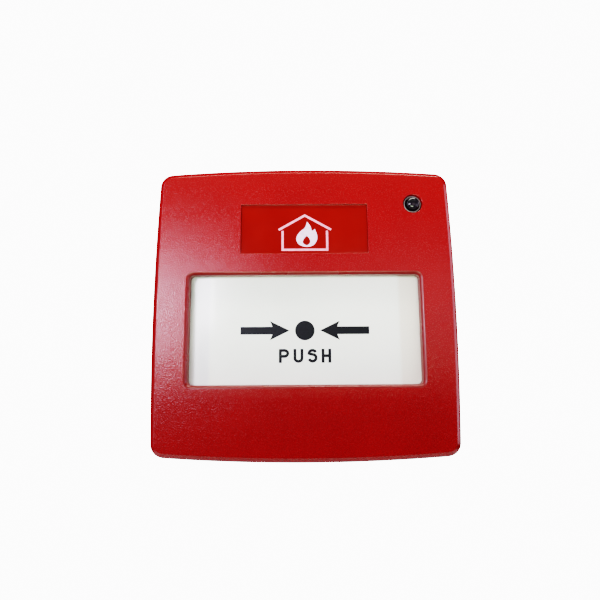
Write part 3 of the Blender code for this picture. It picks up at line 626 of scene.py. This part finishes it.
def grow_lip(lip):
    """The window's rounded lip, and the skirt that runs back from it."""
    flat = 0.06
    rear = LIP_R - SKIRT_WALL
    lip.grow(flat, 0.0, index=FACE)
    lip.fillet(flat, LIP_R - flat, 8, LIP)
    ends = ((LIP_R + flat, SKIRT_END - 0.25), (LIP_R - 0.02, SKIRT_END - 0.06), (LIP_R - 0.2, SKIRT_END))
    lip.grow_rings(ends, LIP)
    lip.grow_rings(((rear + 0.2, SKIRT_END), (rear, SKIRT_END - 0.2), (rear, WALL)), INSIDE)


def cover_mesh():
    """The cover's shell: its face with three openings, and what grows back from each edge."""
    window = rounded_box(-LIP_X, LIP_X, LIP_LOW, LIP_HIGH, LIP_CORNER)
    label = [(LABEL_X, LABEL_LOW), (LABEL_X, LABEL_HIGH), (-LABEL_X, LABEL_HIGH), (-LABEL_X, LABEL_LOW)]
    led_hole = circle(LED_X, LED_Z, LED_HOLE_R + LED_HOLE_ROUND)
    bm = sheet([barrel(RIM_INSET), window, label, led_hole])
    outer, hole, recess, led = boundary_loops(bm)

    skirt = Skirt(bm, outer)
    grow_outside(skirt)
    lip = Skirt(bm, hole, -1.0)
    grow_lip(lip)

    slot = Skirt(bm, recess, -1.0)
    slot.grow(0.02, 0.0, index=FACE)
    slot.fillet(0.02, 0.09, 3, RIM)
    slot.grow(0.11, RECESS_DEPTH, index=RIM)
    fill(bm, slot.edges(), RIM)

    bore = Skirt(bm, led, -1.0)
    bore.fillet(0.0, LED_HOLE_ROUND, 3, RIM)
    bore.grow(LED_HOLE_ROUND, WALL, index=INSIDE)

    fill(bm, skirt.edges() + lip.edges() + bore.edges(), INSIDE)
    bmesh.ops.recalc_face_normals(bm, faces=bm.faces)
    return mesh_from(bm, "front_cover_shell")


def add_box(bm, low, high):
    """Adds a box between two corners, in millimetres."""
    low = Vector(low)
    high = Vector(high)
    verts = bmesh.ops.create_cube(bm, size=1.0)["verts"]
    bmesh.ops.scale(bm, vec=(high - low) * MM, verts=verts)
    bmesh.ops.translate(bm, vec=(low + high) / 2 * MM, verts=verts)


def boxes_mesh(name, boxes):
    """One mesh of separate boxes, each given by its two corners."""
    bm = bmesh.new()
    for low, high in boxes:
        add_box(bm, low, high)
    return mesh_from(bm, name)


def box_about(x, half, y_ends, z_ends, bevel=0.0):
    """A box half wide to each side of x, between two depths and two heights, its edges rounded."""
    bm = bmesh.new()
    add_box(bm, (x - half, y_ends[0], z_ends[0]), (x + half, y_ends[1], z_ends[1]))
    if bevel:
        edges = list(bm.edges)
        bmesh.ops.bevel(
            bm, geom=edges, offset=bevel * MM, segments=3, profile=0.5, affect="EDGES", clamp_overlap=True
        )
    return mesh_from(bm, "box")


def boolean(obj, mesh, operation="DIFFERENCE"):
    """Applies one exact boolean with a loose mesh."""
    tool = linked("tool", mesh)
    step = obj.modifiers.new("boolean", "BOOLEAN")
    step.operation = operation
    step.object = tool
    step.solver = "EXACT"
    baked(obj)
    bpy.data.objects.remove(tool)


def front_cover():
    """The red cover, with the key slot and latch notches in its underside and two hooks on top."""
    paints = ("face", "rim", "lip", "inside")
    cover = add_object("front_cover_shell", cover_mesh(), "cover", paints, ("front_cover",))
    boolean(cover, box_about(0, 3.2, (-18.2, -14.2), (PAST_COVER, -40), 0.3))
    for side in (-1, 1):
        boolean(cover, box_about(side * LATCH_X, 3, (-9.0, -2), (PAST_COVER, -41.5), 0.3))
    for side in (-1, 1):
        boolean(cover, box_about(side * HOOK_X, 2.5, (-7.0, -4.5), (41.4, 43.2), 0.25), "UNION")
        boolean(cover, box_about(side * HOOK_X, 2.5, (-6.6, -2.7), (40.8, 42.0), 0.25), "UNION")
    shade(cover)


front_cover()


# Flat prints

def add_print(name, outlines, level, body, paint, thick=0.03):
    """A thin printed layer from closed (x, z) outlines, its front at a depth given by level(z)."""
    curve = bpy.data.curves.new(name, "CURVE")
    curve.dimensions = "2D"
    curve.fill_mode = "BOTH"
    for points in outlines:
        spline = curve.splines.new("POLY")
        spline.points.add(len(points) - 1)
        for point, (x, z) in zip(spline.points, points):
            point.co = (x * MM, z * MM, 0, 1)
        spline.use_cyclic_u = True
    curve.extrude = thick / 2 * MM
    mesh = mesh_of_guide(name, curve)
    bm = bmesh.new()
    bm.from_mesh(mesh)
    bmesh.ops.remove_doubles(bm, verts=bm.verts, dist=1e-7)
    for vert in bm.verts:
        x, z, y = vert.co
        vert.co = (x, level(z / MM) * MM - y, z)
    bmesh.ops.recalc_face_normals(bm, faces=bm.faces)
    bm.to_mesh(mesh)
    bm.free()
    add_object(name, mesh, body, (paint,))


def stroke(points, width):
    """The outline of a line of a set width through points, with mitred bends."""
    left = []
    right = []
    spots = [Vector(p) for p in points]
    ways = [(end - start).normalized() for start, end in zip(spots, spots[1:])]
    for spot, before, after in zip(spots, [ways[0], *ways], [*ways, ways[-1]]):
        side = mitre(before, after) * width / 2
        left.append(tuple(spot - side))
        right.append(tuple(spot + side))
    return left + right[::-1]


def smooth_outline(points, steps=8):
    """A closed Catmull-Rom curve through points; a point given three times stays sharp."""
    spots = [Vector(p) for p in points]
    count = len(spots)
    out = []
    for i in range(count):
        p0, p1, p2, p3 = (spots[(i + k) % count] for k in (-1, 0, 1, 2))
        if (p2 - p1).length < 1e-9:
            continue
        for s in range(steps):
            t = s / steps
            a = 2 * p1
            b = (p2 - p0) * t
            c = (2 * p0 - 5 * p1 + 4 * p2 - p3) * t * t
            d = (3 * p1 - p0 - 3 * p2 + p3) * t ** 3
            out.append(tuple((a + b + c + d) / 2))
    return out


# The two arrows and the dot between them
DOT_R = 3.0
ARROW_TAIL = 19.8
ARROW_TIP = 4.75
ARROW_BARB = 10.8
ARROW_NOTCH = 10.0
ARROW_HALF = 2.95
SHAFT_HALF = 1.17
MARK_Z = -6.35


def panel_prints():
    """A dot, and an arrow on each side that points at it."""
    outlines = [circle(0, MARK_Z, DOT_R, 64)]
    for side in (-1, 1):
        upper = [
            (ARROW_TIP, 0.0),
            (ARROW_BARB, ARROW_HALF),
            (ARROW_NOTCH + 0.25, ARROW_HALF * 0.66),
            (ARROW_NOTCH, SHAFT_HALF),
            (ARROW_TAIL, SHAFT_HALF),
        ]
        lower = [(x, -z) for x, z in reversed(upper[1:])]
        outlines.append([(side * x, MARK_Z + z) for x, z in upper + lower])
    add_print("panel_marks", outlines, lambda z: PANEL_FRONT - PRINT_LIFT, "panel", "ink")


# The word under them
WORD_HEIGHT = 4.2
WORD_STROKE = 0.85
WORD_GAP = 1.35
WORD_Z = -16.2


def plain_letters():
    """Strokes of each plain capital in the word PUSH, from its lower left corner, and its width."""
    tall = WORD_HEIGHT
    left = low = WORD_STROKE / 2
    high = tall - left
    middle = 0.47 * tall
    bowl = (high - middle) / 2
    stem = [(left, 0.0), (left, tall)]
    bend = arc(1.7, high - bowl, 1.0, bowl, 80, -80)
    letter_p = [stem, [(left, high), (1.7, high), *bend, (1.7, middle), (left, middle)]]
    right = 3.0 - left
    bottom = arc(1.5, 1.4, 1.5 - left, 1.4 - low, 190, 350)
    letter_u = [[(left, tall), (left, 1.4), *bottom, (right, 1.4), (right, tall)]]
    letter_s = [[
        *arc(1.45, high - 0.95, 1.05, 0.95, 20, 180),
        *arc(1.45, low + 2.35, 1.05, 0.1, 215, 215, 1)[:1],
        *arc(1.45, low + 1.08, 1.1, 1.05, 60, -160),
    ]]
    right = 2.9 - left
    letter_h = [stem, [(right, 0.0), (right, tall)], [(left, tall / 2), (right, tall / 2)]]
    return ((letter_p, 3.1), (letter_u, 3.0), (letter_s, 2.9), (letter_h, 2.9))


def panel_word():
    """The plain word PUSH below the marks, one thin print to each stroke."""
    letters = plain_letters()
    x = -(sum(width for strokes, width in letters) + WORD_GAP * (len(letters) - 1)) / 2
    layer = 0
    for strokes, width in letters:
        for points in strokes:
            layer += 1
            lift = PRINT_LIFT + 0.002 * (layer % 3)
            outline = stroke([(x + px, WORD_Z + pz) for px, pz in points], WORD_STROKE)
            level = PANEL_FRONT - lift
            add_print(f"panel_word_{layer}", [outline], lambda z: level, "panel", "ink")
        x += width + WORD_GAP


def label_pictogram():
    """A plain house with a flame in it, printed on the label."""
    def level(z):
        return face_y(z, LABEL_DEPTH) - PRINT_LIFT

    width = 0.72
    outlines = [
        stroke([(-8.0, 24.9), (0.2, 29.6), (8.4, 24.9)], width),
        stroke([(-6.75, 24.6), (-6.75, 18.45), (7.1, 18.45), (7.1, 24.6)], width),
    ]
    add_print("label_house", outlines, level, "cover", "house")
    tip = [(0.9, 27.6)] * 3
    side_tip = [(3.3, 25.2)] * 3
    gap_tip = [(0.8, 23.0)] * 3
    flame = [(0.3, 19.4), (-1.8, 20.3), (-2.5, 22.2), (-1.4, 24.2), (0.2, 25.6), *tip]
    flame += [(2.0, 26.0), (2.4, 24.6), *side_tip, (4.0, 23.2), (3.9, 21.4), (2.6, 19.8)]
    gap = [(0.7, 19.9), (-0.4, 20.7), (-0.2, 21.8), *gap_tip, (1.7, 21.8), (1.7, 20.6)]
    outlines = [smooth_outline(flame), smooth_outline(gap)]
    add_print("label_flame", outlines, level, "cover", "flame")


panel_prints()
panel_word()
label_pictogram()


# Panel and label

def extruded(name, section, low, high):
    """A closed (x, y) section pushed up from low to high, in millimetres."""
    bm = bmesh.new()
    rings = [new_verts(bm, [(x, y, z) for x, y in section]) for z in (low, high)]
    bridge(bm, *rings)
    for ring in rings:
        bm.faces.new(ring)
    bmesh.ops.recalc_face_normals(bm, faces=bm.faces)
    return mesh_from(bm, name)


def press_panel():
    """The white panel, its two ends bent a little back."""
    half = 36.4
    drop = 0.5
    ease = 1.0
    thick = 1.6
    low, high = -24.4, 12.1
    slope = drop / (half - BEND_X)

    def front(x):
        past = abs(x) - BEND_X
        if past <= -ease:
            return PANEL_FRONT
        if past >= ease:
            return PANEL_FRONT + slope * past
        return PANEL_FRONT + slope * (past + ease) ** 2 / (4 * ease)

    xs = [-half, -BEND_X - ease] + [-BEND_X + ease * k / 4 for k in range(-3, 4)]
    xs += [-BEND_X + ease, -18.0, -9.0, 0.0]
    xs += [-x for x in reversed(xs[:-1])]
    section = [(x, front(x)) for x in xs] + [(x, front(x) + thick) for x in reversed(xs)]
    mesh = extruded("press_panel_plate", section, low, high)
    panel = add_object("press_panel_plate", mesh, "panel", ("white",), ("press_panel",))
    round_edges(panel, 0.35, 4, 50)
    shade(panel)


def label_panel():
    """The label plate, which follows the face inside its recess."""
    fit = 0.22
    steps = 12
    half = LABEL_X - fit
    low = LABEL_LOW + fit
    high = LABEL_HIGH - fit
    bm = bmesh.new()
    front = []
    for i in range(steps + 1):
        z = low + (high - low) * i / steps
        front.append(new_verts(bm, [(x, face_y(z, LABEL_DEPTH), z) for x in (-half, half)]))
    for a, b in zip(front, front[1:]):
        bm.faces.new((a[0], a[1], b[1], b[0]))
    plate = Skirt(bm, boundary_loops(bm)[0])
    plate.grow_rings(((0.03, LABEL_DEPTH + 0.01), (0.05, LABEL_DEPTH + 0.05), (0.05, LABEL_DEPTH + 0.4)), 0)
    fill(bm, plate.edges(), 0)
    bmesh.ops.recalc_face_normals(bm, faces=bm.faces)
    mesh = mesh_from(bm, "label_plate")
    shade(add_object("label_plate", mesh, "cover", ("label",), ("label_panel",)))


press_panel()
label_panel()


# Indicator

def middle_of(node):
    """The (x, z) middle of a CAD node, in millimetres."""
    x_low, x_high = span_of(node, 0)
    z_low, z_high = span_of(node, 2)
    return (x_low + x_high) / 2, (z_low + z_high) / 2


def turned_copy(node, profile, paint, ending="turned"):
    """A shape turned about a CAD node's axis along Y, in its place; profile is (radius, y)."""
    name = f"{node}_{ending}"
    x, z = middle_of(node)
    bm = bmesh.new()
    rings = []
    for radius, y in profile:
        spots = circle(x, z, radius) if radius else [(x, z)]
        rings.append(new_verts(bm, [(a, y, b) for a, b in spots]))
    for first, second in zip(rings, rings[1:]):
        bridge(bm, first, second)
    bmesh.ops.recalc_face_normals(bm, faces=bm.faces)
    return add_object(name, mesh_from(bm, name), BODY_OF[node], (paint,), (node,))


def indicator():
    """A dome on a short barrel, standing in a ring that lies a little below the face."""
    radius = 2.0
    flange = 3.4
    flange_front, flange_rear = -24.3, -22.6
    profile = quarter_round(radius, span_of("led_lens", 1)[0], 0.9, 8)
    profile += [(radius, flange_front), (flange, flange_front), (flange, flange_rear), (0.0, flange_rear)]
    shade(turned_copy("led_lens", profile, "lens", "dome"))
    inner, outer = 2.35, 2.7
    front, rear = span_of("led_bezel", 1)
    ring = [(inner, front + 0.25), (inner + 0.04, front + 0.08), (inner + 0.12, front)]
    ring += [(outer - 0.15, front), (outer - 0.04, front + 0.07), (outer, front + 0.25)]
    ring += [(outer, rear), (inner, rear), (inner, front + 0.25)]
    shade(turned_copy("led_bezel", ring, "bezel", "ring"))


indicator()


# Pieces behind the cover

def fine_copy(node, paint, edge):
    """A copy of a CAD node with its flat faces joined and its edges rounded."""
    bm = bmesh.new()
    bm.from_mesh(NODES[node].data)
    bmesh.ops.remove_doubles(bm, verts=bm.verts, dist=2e-6)
    bmesh.ops.dissolve_limit(bm, angle_limit=math.radians(1.0), verts=bm.verts, edges=bm.edges)
    mesh = mesh_from(bm, node + "_fine")
    obj = add_object(node + "_fine", mesh, BODY_OF[node], (paint,), (node,))
    round_edges(obj, edge, 2, 40)
    shade(obj)


POLES = 6

# Moulded pieces and the board: their material and the rounding of their edges
MOULDED_NODES = {
    "base_plate": ("base", 0.25),
    "rear_cover": ("black", 0.4),
    "mechanism_frame": ("grey", 0.18),
    "panel_carrier": ("black", 0.2),
    "trip_lever": ("black", 0.15),
    "micro_switch": ("black", 0.2),
    "warning_flag": ("yellow", 0.15),
    "reset_slide": ("black", 0.25),
    "cover_latch": ("black", 0.25),
    "dial_housing_tens": ("black", 0.3),
    "dial_housing_units": ("black", 0.3),
    "circuit_board": ("board", 0.08),
    "terminal_header": ("black", 0.15),
    "terminal_plug": ("green", 0.25),
    "board_chip_1": ("black", 0.12),
    "board_chip_2": ("black", 0.12),
    "board_chip_3": ("black", 0.1),
}


def fine_pieces():
    """The moulded pieces, the board and the terminals' clamps."""
    for node, (paint, edge) in MOULDED_NODES.items():
        fine_copy(node, paint, edge)
    for pole in range(1, POLES + 1):
        fine_copy(f"terminal_clamp_{pole}", "steel", 0.1)


def threaded_shank(radius, start, tip, pitch):
    """Profile of ridges along a shank, and its blunt end."""
    step = math.copysign(pitch, tip - start)
    ridge = 0.09 * radius + 0.05
    count = int(abs(tip - start) / pitch) - 1
    profile = [(radius - ridge, start)]
    for i in range(count):
        y = start + step * (i + 0.35)
        profile += [(radius - ridge, y), (radius, y + step * 0.3), (radius, y + step * 0.42)]
    return profile + [(radius - ridge, start + step * (count + 0.2)), (radius * 0.7, tip), (0.0, tip)]


def pan_screw(node, head_height, shank_radius, pitch, facing=-1):
    """A plated cross-recess screw; facing is -1 where its head looks at the viewer."""
    x, z = middle_of(node)
    ends = span_of(node, 1)
    top, tip = ends if facing < 0 else ends[::-1]
    radius = (span_of(node, 0)[1] - span_of(node, 0)[0]) / 2
    seat = top - facing * head_height
    profile = [(0.0, top)]
    for share, drop in ((0.45, 0.03), (0.7, 0.12), (0.86, 0.28), (0.96, 0.5), (1.0, 0.72)):
        profile.append((radius * share, top - facing * head_height * drop))
    profile += [(radius, seat + facing * 0.1), (radius - 0.1, seat)]
    profile += threaded_shank(shank_radius, seat, tip, pitch)
    screw = turned_copy(node, profile, "steel")
    depths = sorted((top + facing, top - facing * head_height * 0.5))
    wing, reach = radius / 9, radius * 0.58
    for wide, tall in ((reach, wing), (wing, reach)):
        boolean(screw, box_about(x, wide, depths, (z - tall, z + tall)))
    shade(screw)


def terminal_screw(pole):
    """A small slotted clamp screw."""
    node = f"terminal_screw_{pole}"
    x, z = middle_of(node)
    low, high = span_of(node, 1)
    radius = span_of(node, 0)[1] - x
    profile = [(0.0, high), (radius - 0.25, high), (radius - 0.05, high - 0.08), (radius, high - 0.25)]
    profile += [(radius, low + 0.1), (radius - 0.1, low), (0.0, low)]
    screw = turned_copy(node, profile, "steel")
    boolean(screw, box_about(x, 2, (high - 0.6, high + 1), (z - 0.25, z + 0.25)))
    shade(screw)


def screws():
    for i in range(1, 5):
        pan_screw(f"frame_screw_{i}", 1.5, 1.1, 0.7)
    for side in ("left", "right"):
        pan_screw(f"fixing_screw_{side}", 1.9, 1.75, 0.6)
    for side in ("upper", "lower"):
        pan_screw(f"rear_cover_screw_{side}", 1.4, 1.1, 0.7, 1)
    for pole in range(1, POLES + 1):
        terminal_screw(pole)


def address_dials():
    """Turned dials with a driver slot, and a notch that points."""
    for node in ("address_dial_tens", "address_dial_units"):
        x, z = middle_of(node)
        low, high = span_of(node, 1)
        radius = span_of(node, 0)[1] - x
        profile = [(0.0, high), (radius - 0.35, high), (radius - 0.1, high - 0.1), (radius, high - 0.35)]
        profile += [(radius, low + 0.2), (radius - 0.2, low), (0.0, low)]
        dial = turned_copy(node, profile, "pale")
        boolean(dial, box_about(x, 2.6, (high - 0.9, high + 1), (z - 0.5, z + 0.5), 0.1))
        boolean(dial, box_about(x + 1.9, 0.4, (high - 0.5, high + 1), (z - 0.9, z + 0.9), 0.1))
        shade(dial)


def small_turned_pieces():
    """The capacitor's crimped can, the light pipe, the lamp behind it, and the switch's plunger."""
    low, high = span_of("board_capacitor", 1)
    wide, neck = 2.9, 2.62
    can = [(0.0, low), (2.2, low), (2.3, low + 0.12), (2.65, low + 0.05), (2.85, low + 0.25)]
    can += [(wide, low + 0.5), (wide, high - 1.7), (neck, high - 1.45), (neck, high - 1.25)]
    can += [(wide, high - 1.0), (wide, high), (0.0, high)]
    shade(turned_copy("board_capacitor", can, "steel"))
    low, high = span_of("light_pipe", 1)
    wide = 1.7
    pipe = [(0.0, low), (1.5, low), (1.65, low + 0.06), (wide, low + 0.2), (wide, high - 0.2)]
    pipe += [(1.6, high), (0.0, high)]
    shade(turned_copy("light_pipe", pipe, "clear"))
    low, high = span_of("status_led", 1)
    radius, foot = 1.45, 1.75
    lamp = quarter_round(radius, low, 1.2, 6)
    lamp += [(radius, high - 0.55), (foot - 0.05, high - 0.5), (foot, high - 0.4), (foot, high), (0.0, high)]
    shade(turned_copy("status_led", lamp, "clear"))
    low, high = span_of("switch_plunger", 1)
    pin = [(0.0, low), (0.5, low + 0.05), (0.8, low + 0.25), (0.9, low + 0.6), (0.9, high), (0.0, high)]
    shade(turned_copy("switch_plunger", pin, "pale"))


def coil(node, radius, wire, turns, axis, body="base"):
    """A compression spring in a CAD node's place, its last turn at each end lying nearly flat."""
    per_turn = 28
    end_turns = 0.8
    end_rise = 2.2 * wire
    low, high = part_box(node)
    centre = (Vector(low) + Vector(high)) / 2
    length = (high["xyz".index(axis)] - low["xyz".index(axis)]) / MM - 2 * wire
    laid = Matrix.Rotation(math.pi / 2 if axis == "y" else 0.0, 3, "X")
    curve = bpy.data.curves.new(node, "CURVE")
    curve.dimensions = "3D"
    curve.bevel_depth = wire * MM
    curve.bevel_resolution = 2
    curve.use_fill_caps = True
    spline = curve.splines.new("POLY")
    spline.points.add(int(turns * per_turn))
    for i, point in enumerate(spline.points):
        turn = i / per_turn
        share = min(max((turn - end_turns) / (turns - 2 * end_turns), 0.0), 1.0)
        rise = end_rise * min(turn, end_turns) / end_turns
        rise += share * (length - 2 * end_rise)
        rise += end_rise * max(turn - (turns - end_turns), 0.0) / end_turns
        angle = math.tau * turn
        around = Vector((radius * math.cos(angle), radius * math.sin(angle), rise - length / 2))
        point.co = (*(centre + laid @ around * MM), 1)
    mesh = mesh_of_guide(node + "_coil", curve)
    spring = add_object(node + "_coil", mesh, body, ("spring",), (node,))
    spring.data.shade_smooth()
    spring.data.set_sharp_from_angle(angle=math.radians(60))
    return spring


def springs():
    """The flag's spring, which sits between two bodies and is tied to neither, and the reset and panel
    springs on the base, each given a mesh of its own.
    """
    flag = coil("flag_spring", 1.8, 0.3, 7, "z", None)
    x, z = middle_of("flag_spring")
    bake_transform(flag)
    reset = coil("reset_spring", 2.1, 0.35, 6, "z")
    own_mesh(reset)
    panel = coil("panel_spring", 2.2, 0.35, 6, "y")
    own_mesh(panel)


# The board's small parts, as (x, z) places on its front
RESISTORS = (
    (-22.5, 2.5), (-16.0, 2.5), (-22.5, -14.5), (-15.0, -14.0), (16.0, -36.0), (25.5, -31.0), (25.5, -34.5),
)
PADS = ((-25.5, 4.5), (-13.2, 4.5), (-25.3, -15.2), (14.5, -31.2), (25.6, -36.2))
TRACK_WIDTH = 0.28


def chip_legs(chip, count, front):
    """A row of legs along a chip's lower and upper side."""
    x_low, x_high = span_of(f"board_chip_{chip}", 0)
    z_low, z_high = span_of(f"board_chip_{chip}", 2)
    pitch = (x_high - x_low) / count
    legs = []
    for k in range(count):
        x = x_low + pitch * (k + 0.5)
        for z_from, z_to in ((z_low - 0.8, z_low + 0.1), (z_high - 0.1, z_high + 0.8)):
            legs.append(((x - 0.2, front - 0.75, z_from), (x + 0.2, front - 0.03, z_to)))
    name = f"chip_legs_{chip}"
    add_object(name, boxes_mesh(name, legs), "base", ("steel",))


def resistors(front):
    """Flat black resistors with a metal cap on each end."""
    half, cap, tall = 0.6, 0.4, 0.55
    bodies = []
    ends = []
    for x, z in RESISTORS:
        bodies.append(((x - half, front - tall, z - tall), (x + half, front - 0.03, z + tall)))
        for x_low in (x - half - cap, x + half):
            low = (x_low, front - tall - 0.02, z - tall - 0.02)
            ends.append((low, (x_low + cap, front - 0.02, z + tall + 0.02)))
    add_object("chip_resistors", boxes_mesh("chip_resistors", bodies), "base", ("black",))
    add_object("chip_resistor_ends", boxes_mesh("chip_resistor_ends", ends), "base", ("steel",))


def tracks(front):
    """Two fans of bent tracks, up and down from the left of the board."""
    index = 0
    for k in range(7):
        x = -23.0 + 1.15 * k
        down = 0.5 * k
        rise = 0.4 * k
        lower = [(x, -8.9), (x, -10.0 - down), (x - 3.0, -13.0 - down), (x - 3.0, -29.0)]
        upper = [(x, 0.9), (x, 4.0 + rise), (x + 6.0, 10.0 + rise), (x + 6.0, 20.0)]
        for path in (lower, upper):
            name = f"board_track_{index}"
            outline = stroke(path, TRACK_WIDTH)
            add_print(name, [outline], lambda z: front - 0.01, "base", "track", 0.02)
            index += 1


def board_details():
    """Legs, small parts, tracks and solder pads on the board's front."""
    front = span_of("circuit_board", 1)[0]
    for chip, count in ((1, 8), (2, 7), (3, 3)):
        chip_legs(chip, count, front)
    resistors(front)
    tracks(front)
    pads = [circle(x, z, 0.75, 24) for x, z in PADS]
    add_print("board_pads", pads, lambda z: front - PRINT_LIFT, "base", "steel", 0.04)


def digit_mesh(name, digit, place):
    """A printed digit, centred on a place and read from behind."""
    curve = bpy.data.curves.new(name, "FONT")
    curve.body = str(digit)
    curve.size = 2.1 * MM
    curve.align_x = "CENTER"
    curve.align_y = "CENTER"
    curve.extrude = 0.015 * MM
    upright = Matrix.Rotation(math.pi / 2, 4, "X")
    faced_back = Matrix.Rotation(math.pi, 4, "Z")
    return mesh_of_guide(name, curve, Matrix.Translation(place * MM) @ faced_back @ upright)


def dial_digits():
    """The digits 0 to 9 round each dial window in the rear cover."""
    rear = span_of("rear_cover", 1)[1]
    ring = 5.3
    for title in ("tens", "units"):
        x, z = middle_of("address_dial_" + title)
        for digit in range(10):
            angle = math.tau * digit / 10
            place = Vector((x - ring * math.sin(angle), rear + 0.015, z + ring * math.cos(angle)))
            name = f"{title}_digit_{digit}"
            add_object(name, digit_mesh(name, digit, place), "base", ("white",))


fine_pieces()
screws()
address_dials()
small_turned_pieces()
springs()
board_details()
dial_digits()
fine_copy("lever_pin", "steel", 0.15)


# Floor, light and camera

def pale_floor():
    """A pale disc well below the object."""
    bm = bmesh.new()
    bmesh.ops.create_circle(bm, cap_ends=True, segments=96, radius=0.5)
    bmesh.ops.translate(bm, vec=(0, 0, -0.35), verts=bm.verts)
    mesh = mesh_from(bm, "floor")
    floor = linked("floor", mesh)
    paint = Paint("floor_pale", Roughness=0.6)
    paint.colour(paint.drift(60.0, 2.0, (0.86, 0.86, 0.86), (0.90, 0.90, 0.90)))
    mesh.materials.append(paint.mat)


def area_light(name, place, target, size, power, colour=(1.0, 1.0, 1.0)):
    """A rectangular light at a place, turned towards a target; both in metres."""
    light = bpy.data.lights.new(name, "AREA")
    light.shape = "RECTANGLE"
    light.size, light.size_y = size
    light.energy = power
    light.color = colour
    obj = linked(name, light)
    obj.location = place
    aim = Vector(target) - Vector(place)
    obj.rotation_euler = aim.to_track_quat("-Z", "Y").to_euler()


def surroundings():
    """A white background to the camera, which hardly lights the object."""
    world = bpy.data.worlds.new("surroundings")
    bpy.context.scene.world = world
    world.use_nodes = True
    tree = world.node_tree
    tree.nodes.clear()
    output = tree.nodes.new("ShaderNodeOutputWorld")
    path = tree.nodes.new("ShaderNodeLightPath")
    mix = tree.nodes.new("ShaderNodeMixShader")
    tree.links.new(path.outputs["Is Camera Ray"], mix.inputs["Fac"])
    lit = (1, (0.95, 0.97, 1.0, 1.0), 0.03)
    seen = (2, (1.0, 1.0, 1.0, 1.0), 5.0)
    for socket, colour, strength in (lit, seen):
        background = tree.nodes.new("ShaderNodeBackground")
        background.inputs["Color"].default_value = colour
        background.inputs["Strength"].default_value = strength
        tree.links.new(background.outputs["Background"], mix.inputs[socket])
    tree.links.new(mix.outputs["Shader"], output.inputs["Surface"])
    view = bpy.context.scene.view_settings
    view.view_transform = "Filmic"
    view.look = "Very High Contrast"


def dark_card():
    """A black studio card below the camera, which shades the lower part of the object."""
    mesh = box_about(5, 155, (-186, -184), (-320, -52), 0.5)
    card = linked("card", mesh)
    paint = Paint("card_black", Roughness=0.9)
    paint.colour(paint.mix(paint.noise(30.0, 2.0), (0.004, 0.004, 0.004), (0.008, 0.008, 0.008)))
    mesh.materials.append(paint.mat)
    card.visible_camera = False


def lights():
    """A wide window to the left, a dimmer room to the right and above, and a fill for the rear."""
    cool = (0.90, 0.84, 1.0)
    pale_green = (0.88, 1.0, 0.76)
    middle = (0, 0, 0)
    area_light("window_near", (-0.289, -0.945, 0.156), middle, (0.18, 0.16), 1.98, cool)
    area_light("window_low", (-0.498, -0.863, 0.087), middle, (0.18, 0.16), 4.2, cool)
    area_light("window_high", (-0.494, -0.855, 0.156), middle, (0.18, 0.16), 0.7)
    area_light("ceiling", (0.02, -0.12, 0.28), (0, -0.027, 0.02), (0.3, 0.06), 1.0, (1.0, 0.97, 0.88))
    area_light("room_above", (0, -0.28, 0.40), middle, (0.6, 0.4), 0.5, pale_green)
    area_light("room_low", (0.0, -0.5, -0.2), middle, (0.3, 0.2), 3.6, pale_green)
    area_light("room_side", (0.35, -0.35, 0.0), middle, (0.2, 0.2), 0.33, cool)
    area_light("room_front", (0.2, -0.7, 0.1), middle, (0.3, 0.2), 0.4, (1.0, 0.8, 0.85))
    area_light("edge_right", (0.6, -0.13, 0.05), (0.04, 0, 0.0), (0.3, 0.5), 1.4, cool)
    area_light("edge_left", (-0.5, -0.26, 0.1), (-0.04, 0, 0.0), (0.08, 0.6), 1.6, cool)
    area_light("rear_fill", (0.3, 0.7, 0.4), middle, (0.6, 0.6), 7.0)


def camera():
    """The camera that was fitted to the photo's view."""
    data = bpy.data.cameras.new("camera")
    data.lens = 27.0
    data.sensor_width = 36.0
    data.clip_start = 0.01
    obj = linked("camera", data)
    place = Vector((-1.72, -162.41, -17.50)) * MM
    pitch, yaw, roll = 0.148, -0.002, 0.006
    level = Matrix.Rotation(yaw, 4, "Z") @ Matrix.Rotation(math.pi / 2 + pitch, 4, "X")
    obj.matrix_world = Matrix.Translation(place) @ level @ Matrix.Rotation(-roll, 4, "Z")
    bpy.context.scene.camera = obj


pale_floor()
surroundings()
dark_card()
lights()
camera()
